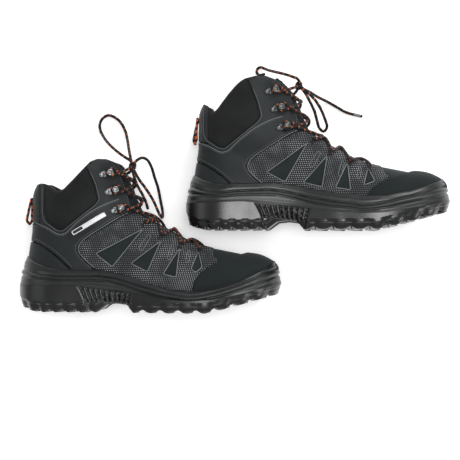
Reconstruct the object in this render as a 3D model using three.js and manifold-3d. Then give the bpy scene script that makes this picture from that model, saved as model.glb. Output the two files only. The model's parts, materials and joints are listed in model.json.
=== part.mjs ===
// A pair of mid-cut lace-up hiking boots lying on their sides: the right boot on its inner side
// and the left boot on its outer side, both with the toe towards +X and the collar towards +Y.
// Millimetres, +Z up. The origin is under the middle of the pair, on the surface they lie on.
//
// Each boot is modelled upright in a frame of its own: x from the heel to the toe, y from the outer
// side (-) to the inner side (+), z up from the ground under the tread. It is then laid down.
import * as THREE from "three";
import { mergeVertices } from "three/addons/utils/BufferGeometryUtils.js";
import { ConvexHull } from "three/addons/math/ConvexHull.js";
import Module from "manifold-3d";

const wasm = await Module();
wasm.setup();

// ---- Driving dimensions -------------------------------------------------------------------------
const GAP = 0.3; // clearance between two pieces that touch
const SOLE_LENGTH = 312;
const BOOT_HEIGHT = 182.5; // ground to the top of the collar
const SOLE_WIDTH = 104; // at the ball of the foot
const RAND_LIP = 2.2; // thickness of the rand at its top edge
const BOARD = 2; // lasting board
const FOOTBED = 4.5;
const LUG_HEIGHT = 5;
const LACE = 3.5; // diameter of the round lace
const THROAT_HALF = 22; // half the opening over the tongue, at the top
const TONGUE_UNDERLAP = 7; // how far the tongue runs under each side of the opening
const BOOT_STEP = { x: 198, y: 96 }; // from the right boot to the left boot
const HOOK_HEIGHT = 8; // how far a lace hook stands off the leather
const MIDSOLE_FLOOR = 4; // foam under the lasting board

// Layers of the upper, as distances out from its base surface.
const BASE = { low: -1.6, high: 0 };
const OVERLAY = { low: BASE.high + GAP, high: BASE.high + GAP + 1.6 };
const CAGE = { low: BASE.high + GAP, high: BASE.high + GAP + 0.8 };
const STIFFENER = { low: BASE.low - GAP - 1.5, high: BASE.low - GAP };
const LINING = { thick: 1.5, high: STIFFENER.low - GAP };
const TONGUE = { low: -8.5, high: BASE.low - GAP };
const COLLAR_PADDING = 4.5; // how much further in the lining lies at the collar
const LABEL = { low: OVERLAY.high + GAP, high: OVERLAY.high + GAP + 0.6 };

// The shape below is drawn for a sole 312 long and 104 wide and a boot 182.5 tall, and stretched to size.
const LONG = SOLE_LENGTH / 312;
const TALL = BOOT_HEIGHT / 182.5;
const WIDE = SOLE_WIDTH / 104;
const sized = ([x, z]) => [x * LONG, z * TALL];
const line = (points) => points.map(sized);

// ---- The base surface of the upper --------------------------------------------------------------
// Levels from the lasting line up past the collar. Each is a closed loop from a back point to a front
// point, shaped like the foot's plan low down (round 0) and like an ankle higher up (round 1).
const LEVELS = [
  { back: [16, 32], front: [299, 34], foot: 0.95, ankle: 36, round: 0, sag: 11 },
  { back: [11, 46], front: [307, 45], foot: 1, ankle: 36, round: 0, sag: 9 },
  { back: [12, 62], front: [302, 56.5], foot: 0.985, ankle: 36, round: 0.05, sag: 6.5 },
  { back: [14, 77], front: [270, 66.5], foot: 0.89, ankle: 36, round: 0.22, sag: 2.5 },
  { back: [16.5, 94], front: [216, 78.5], foot: 0.8, ankle: 36, round: 0.55, sag: 0 },
  { back: [17, 106], front: [182, 96], foot: 0.8, ankle: 35, round: 0.8, sag: 0 },
  { back: [17.5, 121], front: [152, 116], foot: 0.8, ankle: 34, round: 1, sag: 0 },
  { back: [18, 138], front: [139, 141], foot: 0.8, ankle: 34.5, round: 1, sag: 0 },
  { back: [20, 158], front: [130, 166], foot: 0.8, ankle: 37, round: 1, sag: 0 },
  { back: [23, 192], front: [121, 198], foot: 0.8, ankle: 40, round: 1, sag: 0 },
].map((l) => ({ ...l, back: sized(l.back), front: sized(l.front), ankle: l.ankle * WIDE, sag: l.sag * TALL }));
// Half-widths at stations 20 degrees apart round a loop, from the toe to the heel.
const TOE_SHIFT = 4; // the toe's tip lies this far to the inner side
const FOOT_OUTER = [-TOE_SHIFT, 17, 34, 46, 46, 38, 35, 32, 19, 0].map((width) => width * WIDE);
const FOOT_INNER = [TOE_SHIFT, 22, 38, 45, 39, 31, 31, 31, 19, 0].map((width) => width * WIDE);
const SOLE_OUTER = [-TOE_SHIFT, 22, 42, 54, 53, 44, 41, 38, 25, 0].map((width) => width * WIDE);
const SOLE_INNER = [TOE_SHIFT, 27, 44, 50, 44, 36, 37, 37, 25, 0].map((width) => width * WIDE);
const STATION = Math.PI / 9;
const ANKLE_SQUARE = 0.85;

// ---- Lines along the boot, as [x, z] -------------------------------------------------------------
const RAND_TOP = line([
  [0, 66], [11, 65], [25, 57], [42, 51], [70, 49], [105, 49], [135, 43], [160, 34.5],
  [182, 28], [208, 25.5], [235, 28.5], [262, 36.5], [285, 47.5], [303, 56], [312, 57],
]);
const OUTSOLE_TOP = line([
  [0, 29], [25, 27], [72, 26.5], [105, 25.5], [130, 24], [152, 19], [175, 13.5],
  [205, 11], [232, 13], [262, 19.5], [290, 27], [312, 33],
]);
const GROUND = line([
  [0, 12], [4, 6.5], [14, 2.5], [26, 0], [98, 0], [110, 9], [122, 10.5], [133, 9], [141, 0],
  [226, 0], [244, 4], [266, 9.5], [290, 16], [306, 20], [312, 24],
]);

// ---- Outlines seen from the side, as [x, z] ------------------------------------------------------
const SEAM = 0.4; // gap between two panels that meet
const FAR = 400;
const HEEL_LINE = line([[-5, 84], [17, 83], [30, 78], [45, 65], [58, 52], [70, 10]]);
const MESH_LINE = line([[90, 10], [88, 50], [72, 66], [69, 75], [84, 88], [128, 114], [160, 128]]);
const TOE_LINE = line([[208, 10], [213, 36], [220, 46], [243, 60.5], [270, 68], [300, 78]]);
const VAMP_LINE = line([[240, 59], [233, 68], [227, 86]]);
const COLLAR_LINE = line([
  [-20, 148], [21, 151], [27, 152], [35, 147], [43, 144.5], [50, 149], [74, 177], [82, 181],
  [98, 182.5], [116, 176], [135, 166], [FAR, 166],
]);
const BACKSTAY_LINE = line([[-20, 105], [17, 105], [28.5, 101.5], [28.5, FAR]]);
const CUFF_WINDOW = line([
  [28.5, FAR], [28.5, 110], [43, 98], [49, 97], [88, 127.5], [91.5, 132], [88, 151], [79, FAR],
]);
const CUFF_LINE = line([[-20, 96], [17, 96], [47, 88], [99, 127], [97, 146], [86, FAR]]);
const CAGE_WINDOWS = [
  [[90, 67], [145, 98.5], [110, 52]],
  [[134, 54], [171, 81], [156, 48.5]],
  [[173.5, 44.5], [193, 74], [190, 41]],
  [[208.5, 46], [214, 65.5], [221, 54]],
].map(line);
const LABEL_OUTLINE = line([[61, 92], [64, 87.5], [103, 111.5], [99.5, 117]]);

// ---- Curves and solids ----------------------------------------------------------------------------
// A smooth value between numbers that are one step apart.
function between(values, at) {
  const i = Math.min(values.length - 2, Math.max(0, Math.floor(at)));
  const t = at - i;
  const [a, b] = [values[i], values[i + 1]];
  const before = i > 0 ? values[i - 1] : 2 * a - b;
  const after = i + 2 < values.length ? values[i + 2] : 2 * b - a;
  return (
    0.5 * (2 * a + (b - before) * t + (2 * before - 5 * a + 4 * b - after) * t * t +
      (3 * a - before - 3 * b + after) * t * t * t)
  );
}

// The height of a row of [x, z] points at x.
function heightAt(points, x) {
  const next = points.findIndex((p) => p[0] > x);
  const i = next < 0 ? points.length - 2 : Math.max(0, next - 1);
  const [a, b] = [points[i], points[i + 1]];
  return a[1] + ((b[1] - a[1]) * Math.min(b[0] - a[0], Math.max(0, x - a[0]))) / (b[0] - a[0]);
}

// A half-width round a loop: turn is 0 at the toe, below PI on the outer side and above it on the inner.
function halfWidth(outer, inner, turn) {
  const isOuter = turn <= Math.PI;
  const angle = isOuter ? turn : 2 * Math.PI - turn;
  const width = between(isOuter ? outer : inner, angle / STATION);
  return isOuter ? -width : width;
}

const bump = (s) => Math.sin(Math.PI * Math.min(1, Math.max(0, s)) ** 1.6);

// A point on the upper's base surface.
function onUpper(turn, level) {
  const pick = (read) => between(LEVELS.map(read), level);
  const s = (1 + Math.cos(turn)) / 2;
  const round = Math.min(1, Math.max(0, pick((l) => l.round)));
  const side = Math.sin(turn) > 0 ? -1 : 1;
  const foot = halfWidth(FOOT_OUTER, FOOT_INNER, turn) * pick((l) => l.foot);
  const ankle = side * pick((l) => l.ankle) * Math.abs(Math.sin(turn)) ** ANKLE_SQUARE;
  const x = pick((l) => l.back[0]) * (1 - s) + pick((l) => l.front[0]) * s;
  const z = pick((l) => l.back[1]) * (1 - s) + pick((l) => l.front[1]) * s;
  return new THREE.Vector3(x, foot * (1 - round) + ankle * round, z - pick((l) => l.sag) * bump(s));
}

// The direction straight out of the upper at a point of it.
function outOfUpper(turn, level) {
  const step = 0.02;
  const low = Math.max(0, level - step);
  const round = onUpper(turn + step, level).sub(onUpper(turn - step, level));
  const up = onUpper(turn, level + step).sub(onUpper(turn, low));
  return up.cross(round).normalize();
}

function atDepth(turn, level, depth) {
  return onUpper(turn, level).addScaledVector(outOfUpper(turn, level), depth);
}

const ROUND = 16; // points round a loop
const turns = Array.from({ length: ROUND }, (_, i) => (i * 2 * Math.PI) / ROUND);
const TOP_LEVEL = LEVELS.length - 1;
const levels = Array.from({ length: TOP_LEVEL + 1 }, (_, i) => i);

function solidOf(geometry) {
  const loose = geometry.index ? geometry.toNonIndexed() : geometry;
  const bare = new THREE.BufferGeometry().setAttribute("position", loose.getAttribute("position"));
  const merged = mergeVertices(bare, 1e-3);
  const faces = [];
  const index = merged.index.array;
  for (let i = 0; i < index.length; i += 3) {
    const [a, b, c] = [index[i], index[i + 1], index[i + 2]];
    if (a !== b && b !== c && c !== a) faces.push(a, b, c);
  }
  const vertProperties = merged.attributes.position.array;
  return new wasm.Manifold(new wasm.Mesh({ numProp: 3, vertProperties, triVerts: new Uint32Array(faces) }));
}

function facesToSolid(points, faces) {
  const geometry = new THREE.BufferGeometry().setFromPoints(points).setIndex(faces);
  return solidOf(geometry);
}

// The walls between rings of points, each ring joined to the next. From the ring turnedFrom on, each
// quad is split the other way, so that the way down a skin is parallel to the way up it.
function walls(rings, closed, turnedFrom = Infinity) {
  const n = rings[0].length;
  const faces = [];
  const last = closed ? rings.length : rings.length - 1;
  for (let r = 0; r < last; r++) {
    const [low, high] = [r * n, ((r + 1) % rings.length) * n];
    for (let i = 0; i < n; i++) {
      const j = (i + 1) % n;
      if (r < turnedFrom) faces.push(low + i, high + j, low + j, low + i, high + i, high + j);
      else faces.push(low + i, high + i, low + j, high + i, high + j, low + j);
    }
  }
  return faces;
}

// Strips from side to side across a ring that runs from the toe round the heel and back.
function cap(start, n, up) {
  const faces = [];
  for (let i = 0; i < n / 2; i++) {
    const [a, b, c, d] = [i, i + 1, (n - i) % n, n - i - 1].map((k) => start + k);
    if (up) faces.push(a, c, b, b, c, d);
    else faces.push(a, b, c, b, d, c);
  }
  return faces.length ? faces : [];
}

// A closed solid through rings, lowest first, with both ends capped.
function loft(rings) {
  const n = rings[0].length;
  const faces = walls(rings, false);
  faces.push(...cap(0, n, false), ...cap((rings.length - 1) * n, n, true));
  return facesToSolid(rings.flat(), faces);
}

// A closed skin: rings up the outside and back down the inside.
function skin(low, high, range = levels) {
  const depthOf = (depth, turn, level) =>
    typeof depth === "function" ? depth(onUpper(turn, level)) : depth;
  const ring = (depth, level) => turns.map((turn) => atDepth(turn, level, depthOf(depth, turn, level)));
  const rings = [...range.map((l) => ring(high, l)), ...[...range].reverse().map((l) => ring(low, l))];
  return facesToSolid(rings.flat(), walls(rings, true, range.length));
}

// A side-view outline given a width in y.
function prism(outline, low = -90, high = 90) {
  const shape = new THREE.Shape(outline.map(([x, z]) => new THREE.Vector2(x, z)));
  const geometry = new THREE.ExtrudeGeometry(shape, { depth: high - low, bevelEnabled: false });
  return solidOf(geometry.rotateX(Math.PI / 2).translate(0, high, 0));
}

// A side-view outline of [x, z, half-width] points, as wide as each point says.
function wedge(outline) {
  const shape = outline.map(([x, z]) => new THREE.Vector2(x, z));
  if (THREE.ShapeUtils.area(shape) < 0) {
    outline = [...outline].reverse();
    shape.reverse();
  }
  const n = outline.length;
  const points = [-1, 1].flatMap((side) => outline.map(([x, z, h]) => new THREE.Vector3(x, side * h, z)));
  const faces = [];
  for (const [a, b, c] of THREE.ShapeUtils.triangulateShape(shape, [])) {
    faces.push(a, b, c, a + n, c + n, b + n);
  }
  for (let i = 0; i < n; i++) {
    const j = (i + 1) % n;
    faces.push(i, i + n, j + n, i, j + n, j);
  }
  return facesToSolid(points, faces);
}

const below = (edge) => prism([...edge, [edge.at(-1)[0], -20], [edge[0][0], -20]]);
// A line moved sideways, to the left as one walks along it.
const beside = (edge, distance) => edge.map(([x, z], i) => {
  const [a, b] = [edge[Math.max(0, i - 1)], edge[Math.min(edge.length - 1, i + 1)]];
  const length = Math.hypot(b[0] - a[0], b[1] - a[1]);
  return [x - (distance * (b[1] - a[1])) / length, z + (distance * (b[0] - a[0])) / length];
});
const shifted = (edge, dx, dz = 0) => edge.map(([x, z]) => [x + dx, z + dz]);
const OUTER = [-90, -SEAM / 2];
const INNER = [SEAM / 2, 90];

function biggest(solid) {
  return solid.decompose().sort((a, b) => b.volume() - a.volume())[0];
}

// ---- Materials --------------------------------------------------------------------------------------
const material = (color, roughness, metalness = 0) =>
  new THREE.MeshStandardMaterial({ color, roughness, metalness });
const MATERIALS = {
  rubber: material(0x1f2122, 0.7),
  foam: material(0x2a2c2d, 0.55),
  leather: material(0x262a2b, 0.65),
  suede: material(0x202425, 0.95),
  softshell: material(0x1d1f20, 0.8),
  mesh: material(0x33383a, 0.8),
  fabric: material(0x1b1d1e, 0.9),
  board: material(0x8a7a5c, 0.8),
  plastic: material(0x4a4a46, 0.5),
  steel: material(0x9aa0a4, 0.35, 1),
  gunmetal: material(0x8b8f93, 0.35, 1),
  lace: material(0x191b1c, 0.75),
  aglet: material(0x6f7274, 0.3),
  label: material(0xe4e4e2, 0.4),
};

// ---- The sole ---------------------------------------------------------------------------------------
// A ring at the sole's full outline, drawn in by inset, at the height that a line gives.
function soleRing(edge, inset = 0, lift = 0) {
  return turns.map((turn) => {
    const s = (1 + Math.cos(turn)) / 2;
    const x = inset + (SOLE_LENGTH - 2 * inset) * s;
    const width = halfWidth(SOLE_OUTER, SOLE_INNER, turn);
    const y = width - Math.sign(width) * Math.min(inset, Math.abs(width));
    return new THREE.Vector3(x, y, heightAt(edge, x) + lift);
  });
}

// The level at which the upper's surface crosses the top of the rand.
function randLevel(turn) {
  let [low, high] = [0, 5];
  for (let i = 0; i < 24; i++) {
    const middle = (low + high) / 2;
    const p = onUpper(turn, middle);
    if (p.z < heightAt(RAND_TOP, p.x)) low = middle;
    else high = middle;
  }
  return low;
}

const RAND_BULGE = 2.5;
const RAND_STEPS = [0, 0.35, 0.7, 1];
const randLip = turns.map((turn) => atDepth(turn, randLevel(turn), OVERLAY.high + GAP + RAND_LIP));

function randRing(share) {
  const foot = soleRing(OUTSOLE_TOP);
  return turns.map((turn, i) => {
    const p = foot[i].clone().lerp(randLip[i], share);
    const out = outOfUpper(turn, 1.5).setZ(0).normalize();
    return p.addScaledVector(out, RAND_BULGE * 4 * share * (1 - share));
  });
}

// Everything that the upper takes up inside the rand, down to the board's underside.
function upperSpace(grow = 0) {
  const bottom = turns.map((turn) => atDepth(turn, 0, OVERLAY.high + GAP + grow));
  const floor = bottom.map((p) => p.clone().setZ(p.z - BOARD - GAP - grow));
  const rings = levels.slice(1).map((l) => turns.map((turn) => atDepth(turn, l, OVERLAY.high + GAP + grow)));
  return loft([floor, bottom, ...rings]);
}

// The foam bed under the board, which sits in a pocket of the outsole.
function bedSolid(grow) {
  const ring = (drop) => turns.map((turn) => {
    const p = atDepth(turn, 0, BASE.low + grow);
    return p.setZ(onUpper(turn, 0).z - drop);
  });
  return loft([ring(BOARD + GAP + MIDSOLE_FLOOR + grow), ring(BOARD - 2)]);
}

// A plate that follows the floor of the boot, lifted off the lasting line and drawn in.
function floorPlate(lift, thick, depth) {
  const ring = (z) => turns.map((turn) => {
    const p = atDepth(turn, 0, depth);
    return p.setZ(onUpper(turn, 0).z + z);
  });
  return loft([ring(lift), ring(lift + thick)]);
}

const SHANK = { from: 70 * LONG, to: 165 * LONG, half: 8, thick: 1.6 };

function shankSolid(grow) {
  const low = (x) => heightAt(boardLine, x) - SHANK.thick - GAP;
  const xs = [SHANK.from - grow, (SHANK.from + SHANK.to) / 2, SHANK.to + grow];
  const outline = [
    ...xs.map((x) => [x, low(x) - grow, SHANK.half + grow]),
    ...[...xs].reverse().map((x) => [x, low(x) + SHANK.thick + (grow ? SHANK.thick : 0), SHANK.half + grow]),
  ];
  return wedge(outline);
}

// The underside of the lasting board along the middle of the boot.
const boardLine = Array.from({ length: 14 }, (_, i) => {
  const s = i / 13;
  const [a, b] = [LEVELS[0].back, LEVELS[0].front];
  const z = a[1] * (1 - s) + b[1] * s - LEVELS[0].sag * bump(s) - BOARD;
  return [a[0] * (1 - s) + b[0] * s, z];
});

// Tread lugs: [x of the row's middle, number of lugs across].
const LUG_LENGTH = 13;
const LUG_ROWS = [
  [34, 3], [54, 3], [74, 3], [91, 3], [148, 3], [168, 4], [188, 4], [208, 4], [228, 3], [248, 3], [268, 2],
];
const LUG_EDGE = 2.5;

function lugSolids() {
  const lugs = [];
  for (const [place, count] of LUG_ROWS) {
    const x = place * LONG;
    const turn = Math.acos((2 * x) / SOLE_LENGTH - 1);
    const [outer, inner] = [turn, 2 * Math.PI - turn].map((t) => halfWidth(SOLE_OUTER, SOLE_INNER, t));
    const [from, to] = [outer + LUG_EDGE, inner - LUG_EDGE];
    const pitch = (to - from) / count;
    const bottom = heightAt(GROUND, x);
    const height = heightAt(GROUND, x) + LUG_HEIGHT + 1 - bottom;
    for (let i = 0; i < count; i++) {
      const lug = new THREE.BoxGeometry(LUG_LENGTH, pitch * 0.68, height);
      lugs.push(solidOf(lug.translate(x, from + pitch * (i + 0.5), bottom + height / 2)));
    }
  }
  return lugs;
}

// ---- Small pieces -----------------------------------------------------------------------------------
// A frame standing on the upper: x along it, z straight out of it.
function frameOnUpper(x, z, isOuter, depth, lean) {
  const [turn, level] = findOnUpper(x, z, isOuter);
  const out = outOfUpper(turn, level);
  const along = new THREE.Vector3(Math.cos(lean), 0, Math.sin(lean));
  along.addScaledVector(out, -along.dot(out)).normalize();
  const across = out.clone().cross(along);
  const matrix = new THREE.Matrix4().makeBasis(along, across, out);
  return matrix.setPosition(atDepth(turn, level, depth));
}

// The turn and level of the point that lies at x, z in the side view.
function findOnUpper(x, z, isOuter) {
  let [turn, level] = [isOuter ? 1.2 : -1.2, 5];
  for (let i = 0; i < 40; i++) {
    const step = 1e-3;
    const p = onUpper(turn, level);
    const dt = onUpper(turn + step, level).sub(p).divideScalar(step);
    const dl = onUpper(turn, level + step).sub(p).divideScalar(step);
    const det = dt.x * dl.z - dl.x * dt.z;
    turn += Math.max(-0.2, Math.min(0.2, ((x - p.x) * dl.z - (z - p.z) * dl.x) / det));
    level += Math.max(-1, Math.min(1, (dt.x * (z - p.z) - dt.z * (x - p.x)) / det));
    level = Math.max(0, Math.min(TOP_LEVEL - 0.1, level));
  }
  return [turn < 0 ? turn + 2 * Math.PI : turn, level];
}

// Lace hooks: [x, z] of the rivet, lowest first. The hook's own neck is HOOK_REACH ahead of it.
const HOOK_SEAT = OVERLAY.high + 0.9; // a hook's base stands clear of the curved leather
const HOOK_BASE = 1.3;
const HOOK_HEAD = 1.5;
const HOOKS = line([[113, 120], [106, 142], [100, 162.5]]);
const HOOK_REACH = 9.5;
const HOOK_LEAN = 0.3;
const HOOK_NECK = 1.3;

function hookSolid() {
  const disc = (radius, low, thick, x) =>
    solidOf(new THREE.CylinderGeometry(radius, radius, thick, 6).rotateX(Math.PI / 2).translate(x, 0, low + thick / 2));
  const plate = solidOf(new THREE.BoxGeometry(HOOK_REACH, 5, 1.2).translate(HOOK_REACH / 2, 0, 0.6));
  const rivet = disc(4.2, 0, 1.6, 0);
  const base = disc(3.8, 0, HOOK_BASE, HOOK_REACH);
  const neck = disc(HOOK_NECK, 1, HOOK_HEIGHT - 2, HOOK_REACH);
  const head = disc(3.9, HOOK_HEIGHT - HOOK_HEAD, HOOK_HEAD, HOOK_REACH);
  return [rivet, base, neck, head].reduce((all, piece) => all.add(piece), plate);
}

// Eyelets: [x, z], from the toe up.
const EYELETS = line([[218, 70], [195, 77], [172, 88], [151, 103]]);
const LACE_DEPTH = OVERLAY.high + 1.2 + LACE / 2;
const HOOK_LACE_DEPTH = HOOK_SEAT + (HOOK_BASE + HOOK_HEIGHT - HOOK_HEAD) / 2;

// A round cord through points, with a ring of SIDES corners at each.
const SIDES = 5;

function cordSolid(points, diameter) {
  const directions = points.map((_, i) =>
    points[Math.min(i + 1, points.length - 1)].clone().sub(points[Math.max(i - 1, 0)]).normalize());
  let side = new THREE.Vector3(0.3, 0.2, 1).cross(directions[0]).normalize();
  const rings = points.map((p, i) => {
    side = side.clone().addScaledVector(directions[i], -side.dot(directions[i])).normalize();
    const other = directions[i].clone().cross(side);
    return Array.from({ length: SIDES }, (_, k) => {
      const angle = (-k * 2 * Math.PI) / SIDES;
      return p.clone().addScaledVector(side, (diameter / 2) * Math.cos(angle))
        .addScaledVector(other, (diameter / 2) * Math.sin(angle));
    });
  });
  return loft(rings);
}

// A smooth run of count points through the given ones.
const smooth = (points, count) => new THREE.CatmullRomCurve3(points, false, "centripetal").getSpacedPoints(count);

// Points over the throat from one place on the upper to another on the other side.
function across(from, to, count) {
  const unwrap = (turn) => (turn > Math.PI ? turn - 2 * Math.PI : turn);
  return Array.from({ length: count }, (_, i) => {
    const t = (i + 0.5) / count;
    const turn = unwrap(from[0]) * (1 - t) + unwrap(to[0]) * t;
    const level = from[1] * (1 - t) + to[1] * t;
    return atDepth(turn, level, LACE_DEPTH + 1);
  });
}

// Half of the lacing: from one bottom eyelet up, crossing at each row, round the hooks to the knot.
function laceHalf(startsOuter) {
  const points = [];
  let isOuter = startsOuter;
  let last = findOnUpper(...EYELETS[0], isOuter);
  points.push(atDepth(...last, LACE_DEPTH));
  for (const eyelet of EYELETS.slice(1)) {
    isOuter = !isOuter;
    const next = findOnUpper(...eyelet, isOuter);
    points.push(...across(last, next, 2), atDepth(...next, LACE_DEPTH));
    last = next;
  }
  for (const hook of HOOKS) {
    isOuter = !isOuter;
    const frame = frameOnUpper(...hook, isOuter, HOOK_LACE_DEPTH, HOOK_LEAN);
    const next = findOnUpper(hook[0] + HOOK_REACH + 6, hook[1] + 1, isOuter);
    points.push(...across(last, next, 3));
    const radius = HOOK_NECK + 1.2 + LACE / 2;
    const side = isOuter ? -1 : 1;
    for (const [dx, dy] of [[0.6, -1], [-0.8, -0.75], [-0.8, 0.75], [0.6, 1]]) {
      points.push(new THREE.Vector3(HOOK_REACH + dx * radius, side * dy * radius, 0).applyMatrix4(frame));
    }
    last = next;
  }
  points.push(...across(last, [0, KNOT.level], 3).slice(0, 2));
  return points;
}

// The bow's knot, over the middle of the tongue.
const KNOT = { level: 8.15, depth: 6.5, half: [5.5, 8, 5.5] };
const knotCentre = atDepth(0, KNOT.level, KNOT.depth);

function knotSolid() {
  const knot = new THREE.SphereGeometry(1, 7, 5).scale(...KNOT.half).rotateY(0.25);
  return solidOf(knot.translate(...knotCentre));
}

// The cord loop sewn to the back of the collar, hanging from its hinge.
const LOOP = { height: 133 * TALL, half: 4.5, drop: 27, out: 5, twist: 2.2, cord: 3.2 };
const loopHinge = (() => {
  let [low, high] = [0, TOP_LEVEL];
  for (let i = 0; i < 24; i++) {
    const middle = (low + high) / 2;
    if (onUpper(Math.PI, middle).z < LOOP.height) low = middle;
    else high = middle;
  }
  return onUpper(Math.PI, low).x - OVERLAY.high - GAP - LOOP.cord / 2;
})();

function heelLoopSolid() {
  const [x, z] = [loopHinge, LOOP.height];
  const strand = (side, t) =>
    new THREE.Vector3(x - LOOP.out * Math.sin(t * 1.4) + side * LOOP.twist * t, side * LOOP.half, z - LOOP.drop * t);
  const down = [0, 0.35, 0.7, 0.94].map((t) => strand(1, t));
  const up = [0.94, 0.7, 0.35, 0].map((t) => strand(-1, t));
  const foot = [0.6, -0.6].map((k) => new THREE.Vector3(x - LOOP.out, k * LOOP.half, z - LOOP.drop * 1.08));
  const cord = cordSolid([...down, ...foot, ...up], LOOP.cord);
  const pin = new THREE.CylinderGeometry(LOOP.cord / 2, LOOP.cord / 2, 2 * LOOP.half, 8);
  return cord.add(solidOf(pin.translate(x, 0, z)));
}

// ---- One boot -----------------------------------------------------------------------------------------
// Cut for the opening over the tongue; extra widens it.
function throat(extra = 0) {
  const low = THROAT_HALF * 0.5 + extra;
  const high = THROAT_HALF + extra;
  const outline = [
    [224, 60, low], [236, 100, low], [190, 140, low + 4], [160, 210, high], [88, 210, high],
    [100, 170, high], [112, 138, high], [128, 112, high - 2], [156, 90, high - 5], [190, 70, low + 2],
  ];
  return wedge(outline.map(([x, z, half], i) => [x * LONG + (i < 2 ? extra : 0), z * TALL, half]));
}

function liningLow(p) {
  const t = Math.min(1, Math.max(0, (p.z / TALL - 95) / 35));
  return LINING.high - LINING.thick - COLLAR_PADDING * t * t * (3 - 2 * t);
}
const liningHigh = (p) => liningLow(p) + LINING.thick;

function bootSolids() {
  const collar = below(COLLAR_LINE);
  const liningCollar = below(shifted(COLLAR_LINE, 0, -2));
  const base = skin(BASE.low, BASE.high).intersect(collar);
  const overlay = skin(OVERLAY.low, OVERLAY.high).intersect(collar).subtract(throat());
  const cageSkin = skin(CAGE.low, CAGE.high).intersect(collar).subtract(throat());
  const stiffener = skin(STIFFENER.low, STIFFENER.high);
  const frontOf = (edge) => prism([...edge, [FAR, edge.at(-1)[1]], [FAR, 10]]);

  const heelTop = HEEL_LINE[0][1];
  const heel = prism([...HEEL_LINE, [-20, 10], [-20, heelTop]]);
  const heelCut = prism([...shifted(HEEL_LINE, SEAM, SEAM), [-20, 10 + SEAM], [-20, heelTop + SEAM]]);
  const backstay = prism([...BACKSTAY_LINE, [-20, FAR]]);
  const backstayCut = prism([...shifted(BACKSTAY_LINE, SEAM, -SEAM), [-20, FAR]]);
  const mesh = frontOf(MESH_LINE);
  const meshCut = frontOf(beside(MESH_LINE, SEAM));
  const toeTop = TOE_LINE.at(-1)[1];
  const toe = prism([...TOE_LINE, [FAR, toeTop], [FAR, 10]]);
  const toeCut = prism([...shifted(TOE_LINE, -SEAM, SEAM), [FAR, toeTop + SEAM], [FAR, 10]]);
  const vampTop = prism([...VAMP_LINE, [FAR, VAMP_LINE[2][1]], [FAR, VAMP_LINE[0][1]]]);

  const quarter = overlay.subtract(heelCut).subtract(backstayCut).subtract(meshCut).subtract(prism(CUFF_WINDOW));
  let cage = cageSkin.intersect(mesh).subtract(toeCut).subtract(vampTop);
  for (const outline of CAGE_WINDOWS) cage = cage.subtract(prism(outline));
  const cuff = prism([...CUFF_LINE, [-20, FAR]]);
  const cuffCut = prism([...shifted(CUFF_LINE, SEAM, -SEAM), [-20, FAR]]);
  const vamp = base.subtract(throat()).subtract(cuffCut).intersect(prism(line([[56, -20], [56, 400], [FAR, 400], [FAR, -20]])));
  const lining = skin(liningLow, liningHigh, levels.filter((l) => l !== 2 && l !== 7)).intersect(liningCollar).subtract(throat(TONGUE_UNDERLAP + SEAM));
  const tongueTop = prism(line([[60, -20], [60, 208], [140, 164], [FAR, 164], [FAR, -20]]));
  const tongue = skin(TONGUE.low, TONGUE.high).intersect(throat(TONGUE_UNDERLAP)).intersect(tongueTop);

  const foot = soleRing(OUTSOLE_TOP);
  const midsole = loft([foot, ...RAND_STEPS.slice(1).map(randRing)]).add(bedSolid(0)).subtract(upperSpace());
  const tread = (lift) => soleRing(GROUND, 1, lift);
  let outsole = loft([tread(LUG_HEIGHT), soleRing(OUTSOLE_TOP, 0, -GAP)]);
  for (const lug of lugSolids()) outsole = outsole.add(lug);
  outsole = outsole.subtract(bedSolid(GAP)).subtract(upperSpace(GAP));

  return {
    outsole: [outsole, "rubber"],
    midsole: [midsole.subtract(shankSolid(GAP)), "foam"],
    shank: [shankSolid(0), "steel"],
    lasting_board: [floorPlate(-BOARD, BOARD - GAP, BASE.low - GAP), "board"],
    footbed: [floorPlate(0, FOOTBED, LINING.high - LINING.thick - 1), "fabric"],
    lining: [lining, "fabric"],
    toe_puff: [stiffener.intersect(prism(line([[262, -20], [250, 60], [262, 90], [FAR, 90], [FAR, -20]]))), "plastic"],
    heel_counter: [stiffener.intersect(prism(line([[-20, -20], [-20, 92], [30, 90], [64, 40], [66, -20]]))), "plastic"],
    vamp: [vamp, "fabric"],
    cuff: [base.intersect(cuff).subtract(throat()), "softshell"],
    quarter_outer: [quarter.intersect(prism([[-20, -20], [-20, 400], [FAR, 400], [FAR, -20]], ...OUTER)), "leather"],
    quarter_inner: [quarter.intersect(prism([[-20, -20], [-20, 400], [FAR, 400], [FAR, -20]], ...INNER)), "leather"],
    cage_outer: [cage.intersect(prism([[-20, -20], [-20, 400], [FAR, 400], [FAR, -20]], ...OUTER)), "mesh"],
    cage_inner: [cage.intersect(prism([[-20, -20], [-20, 400], [FAR, 400], [FAR, -20]], ...INNER)), "mesh"],
    toe_cap: [overlay.intersect(toe), "suede"],
    heel_patch: [overlay.intersect(heel), "leather"],
    backstay: [overlay.intersect(backstay), "leather"],
    label: [skin(LABEL.low, LABEL.high).intersect(prism(LABEL_OUTLINE, ...OUTER)), "label"],
    tongue: [tongue, "fabric"],
    heel_loop: [heelLoopSolid(), "lace"],
    lacing: [cordSolid(laceHalf(true), LACE).add(cordSolid(laceHalf(false), LACE)).add(knotSolid()), "lace"],
  };
}

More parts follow.
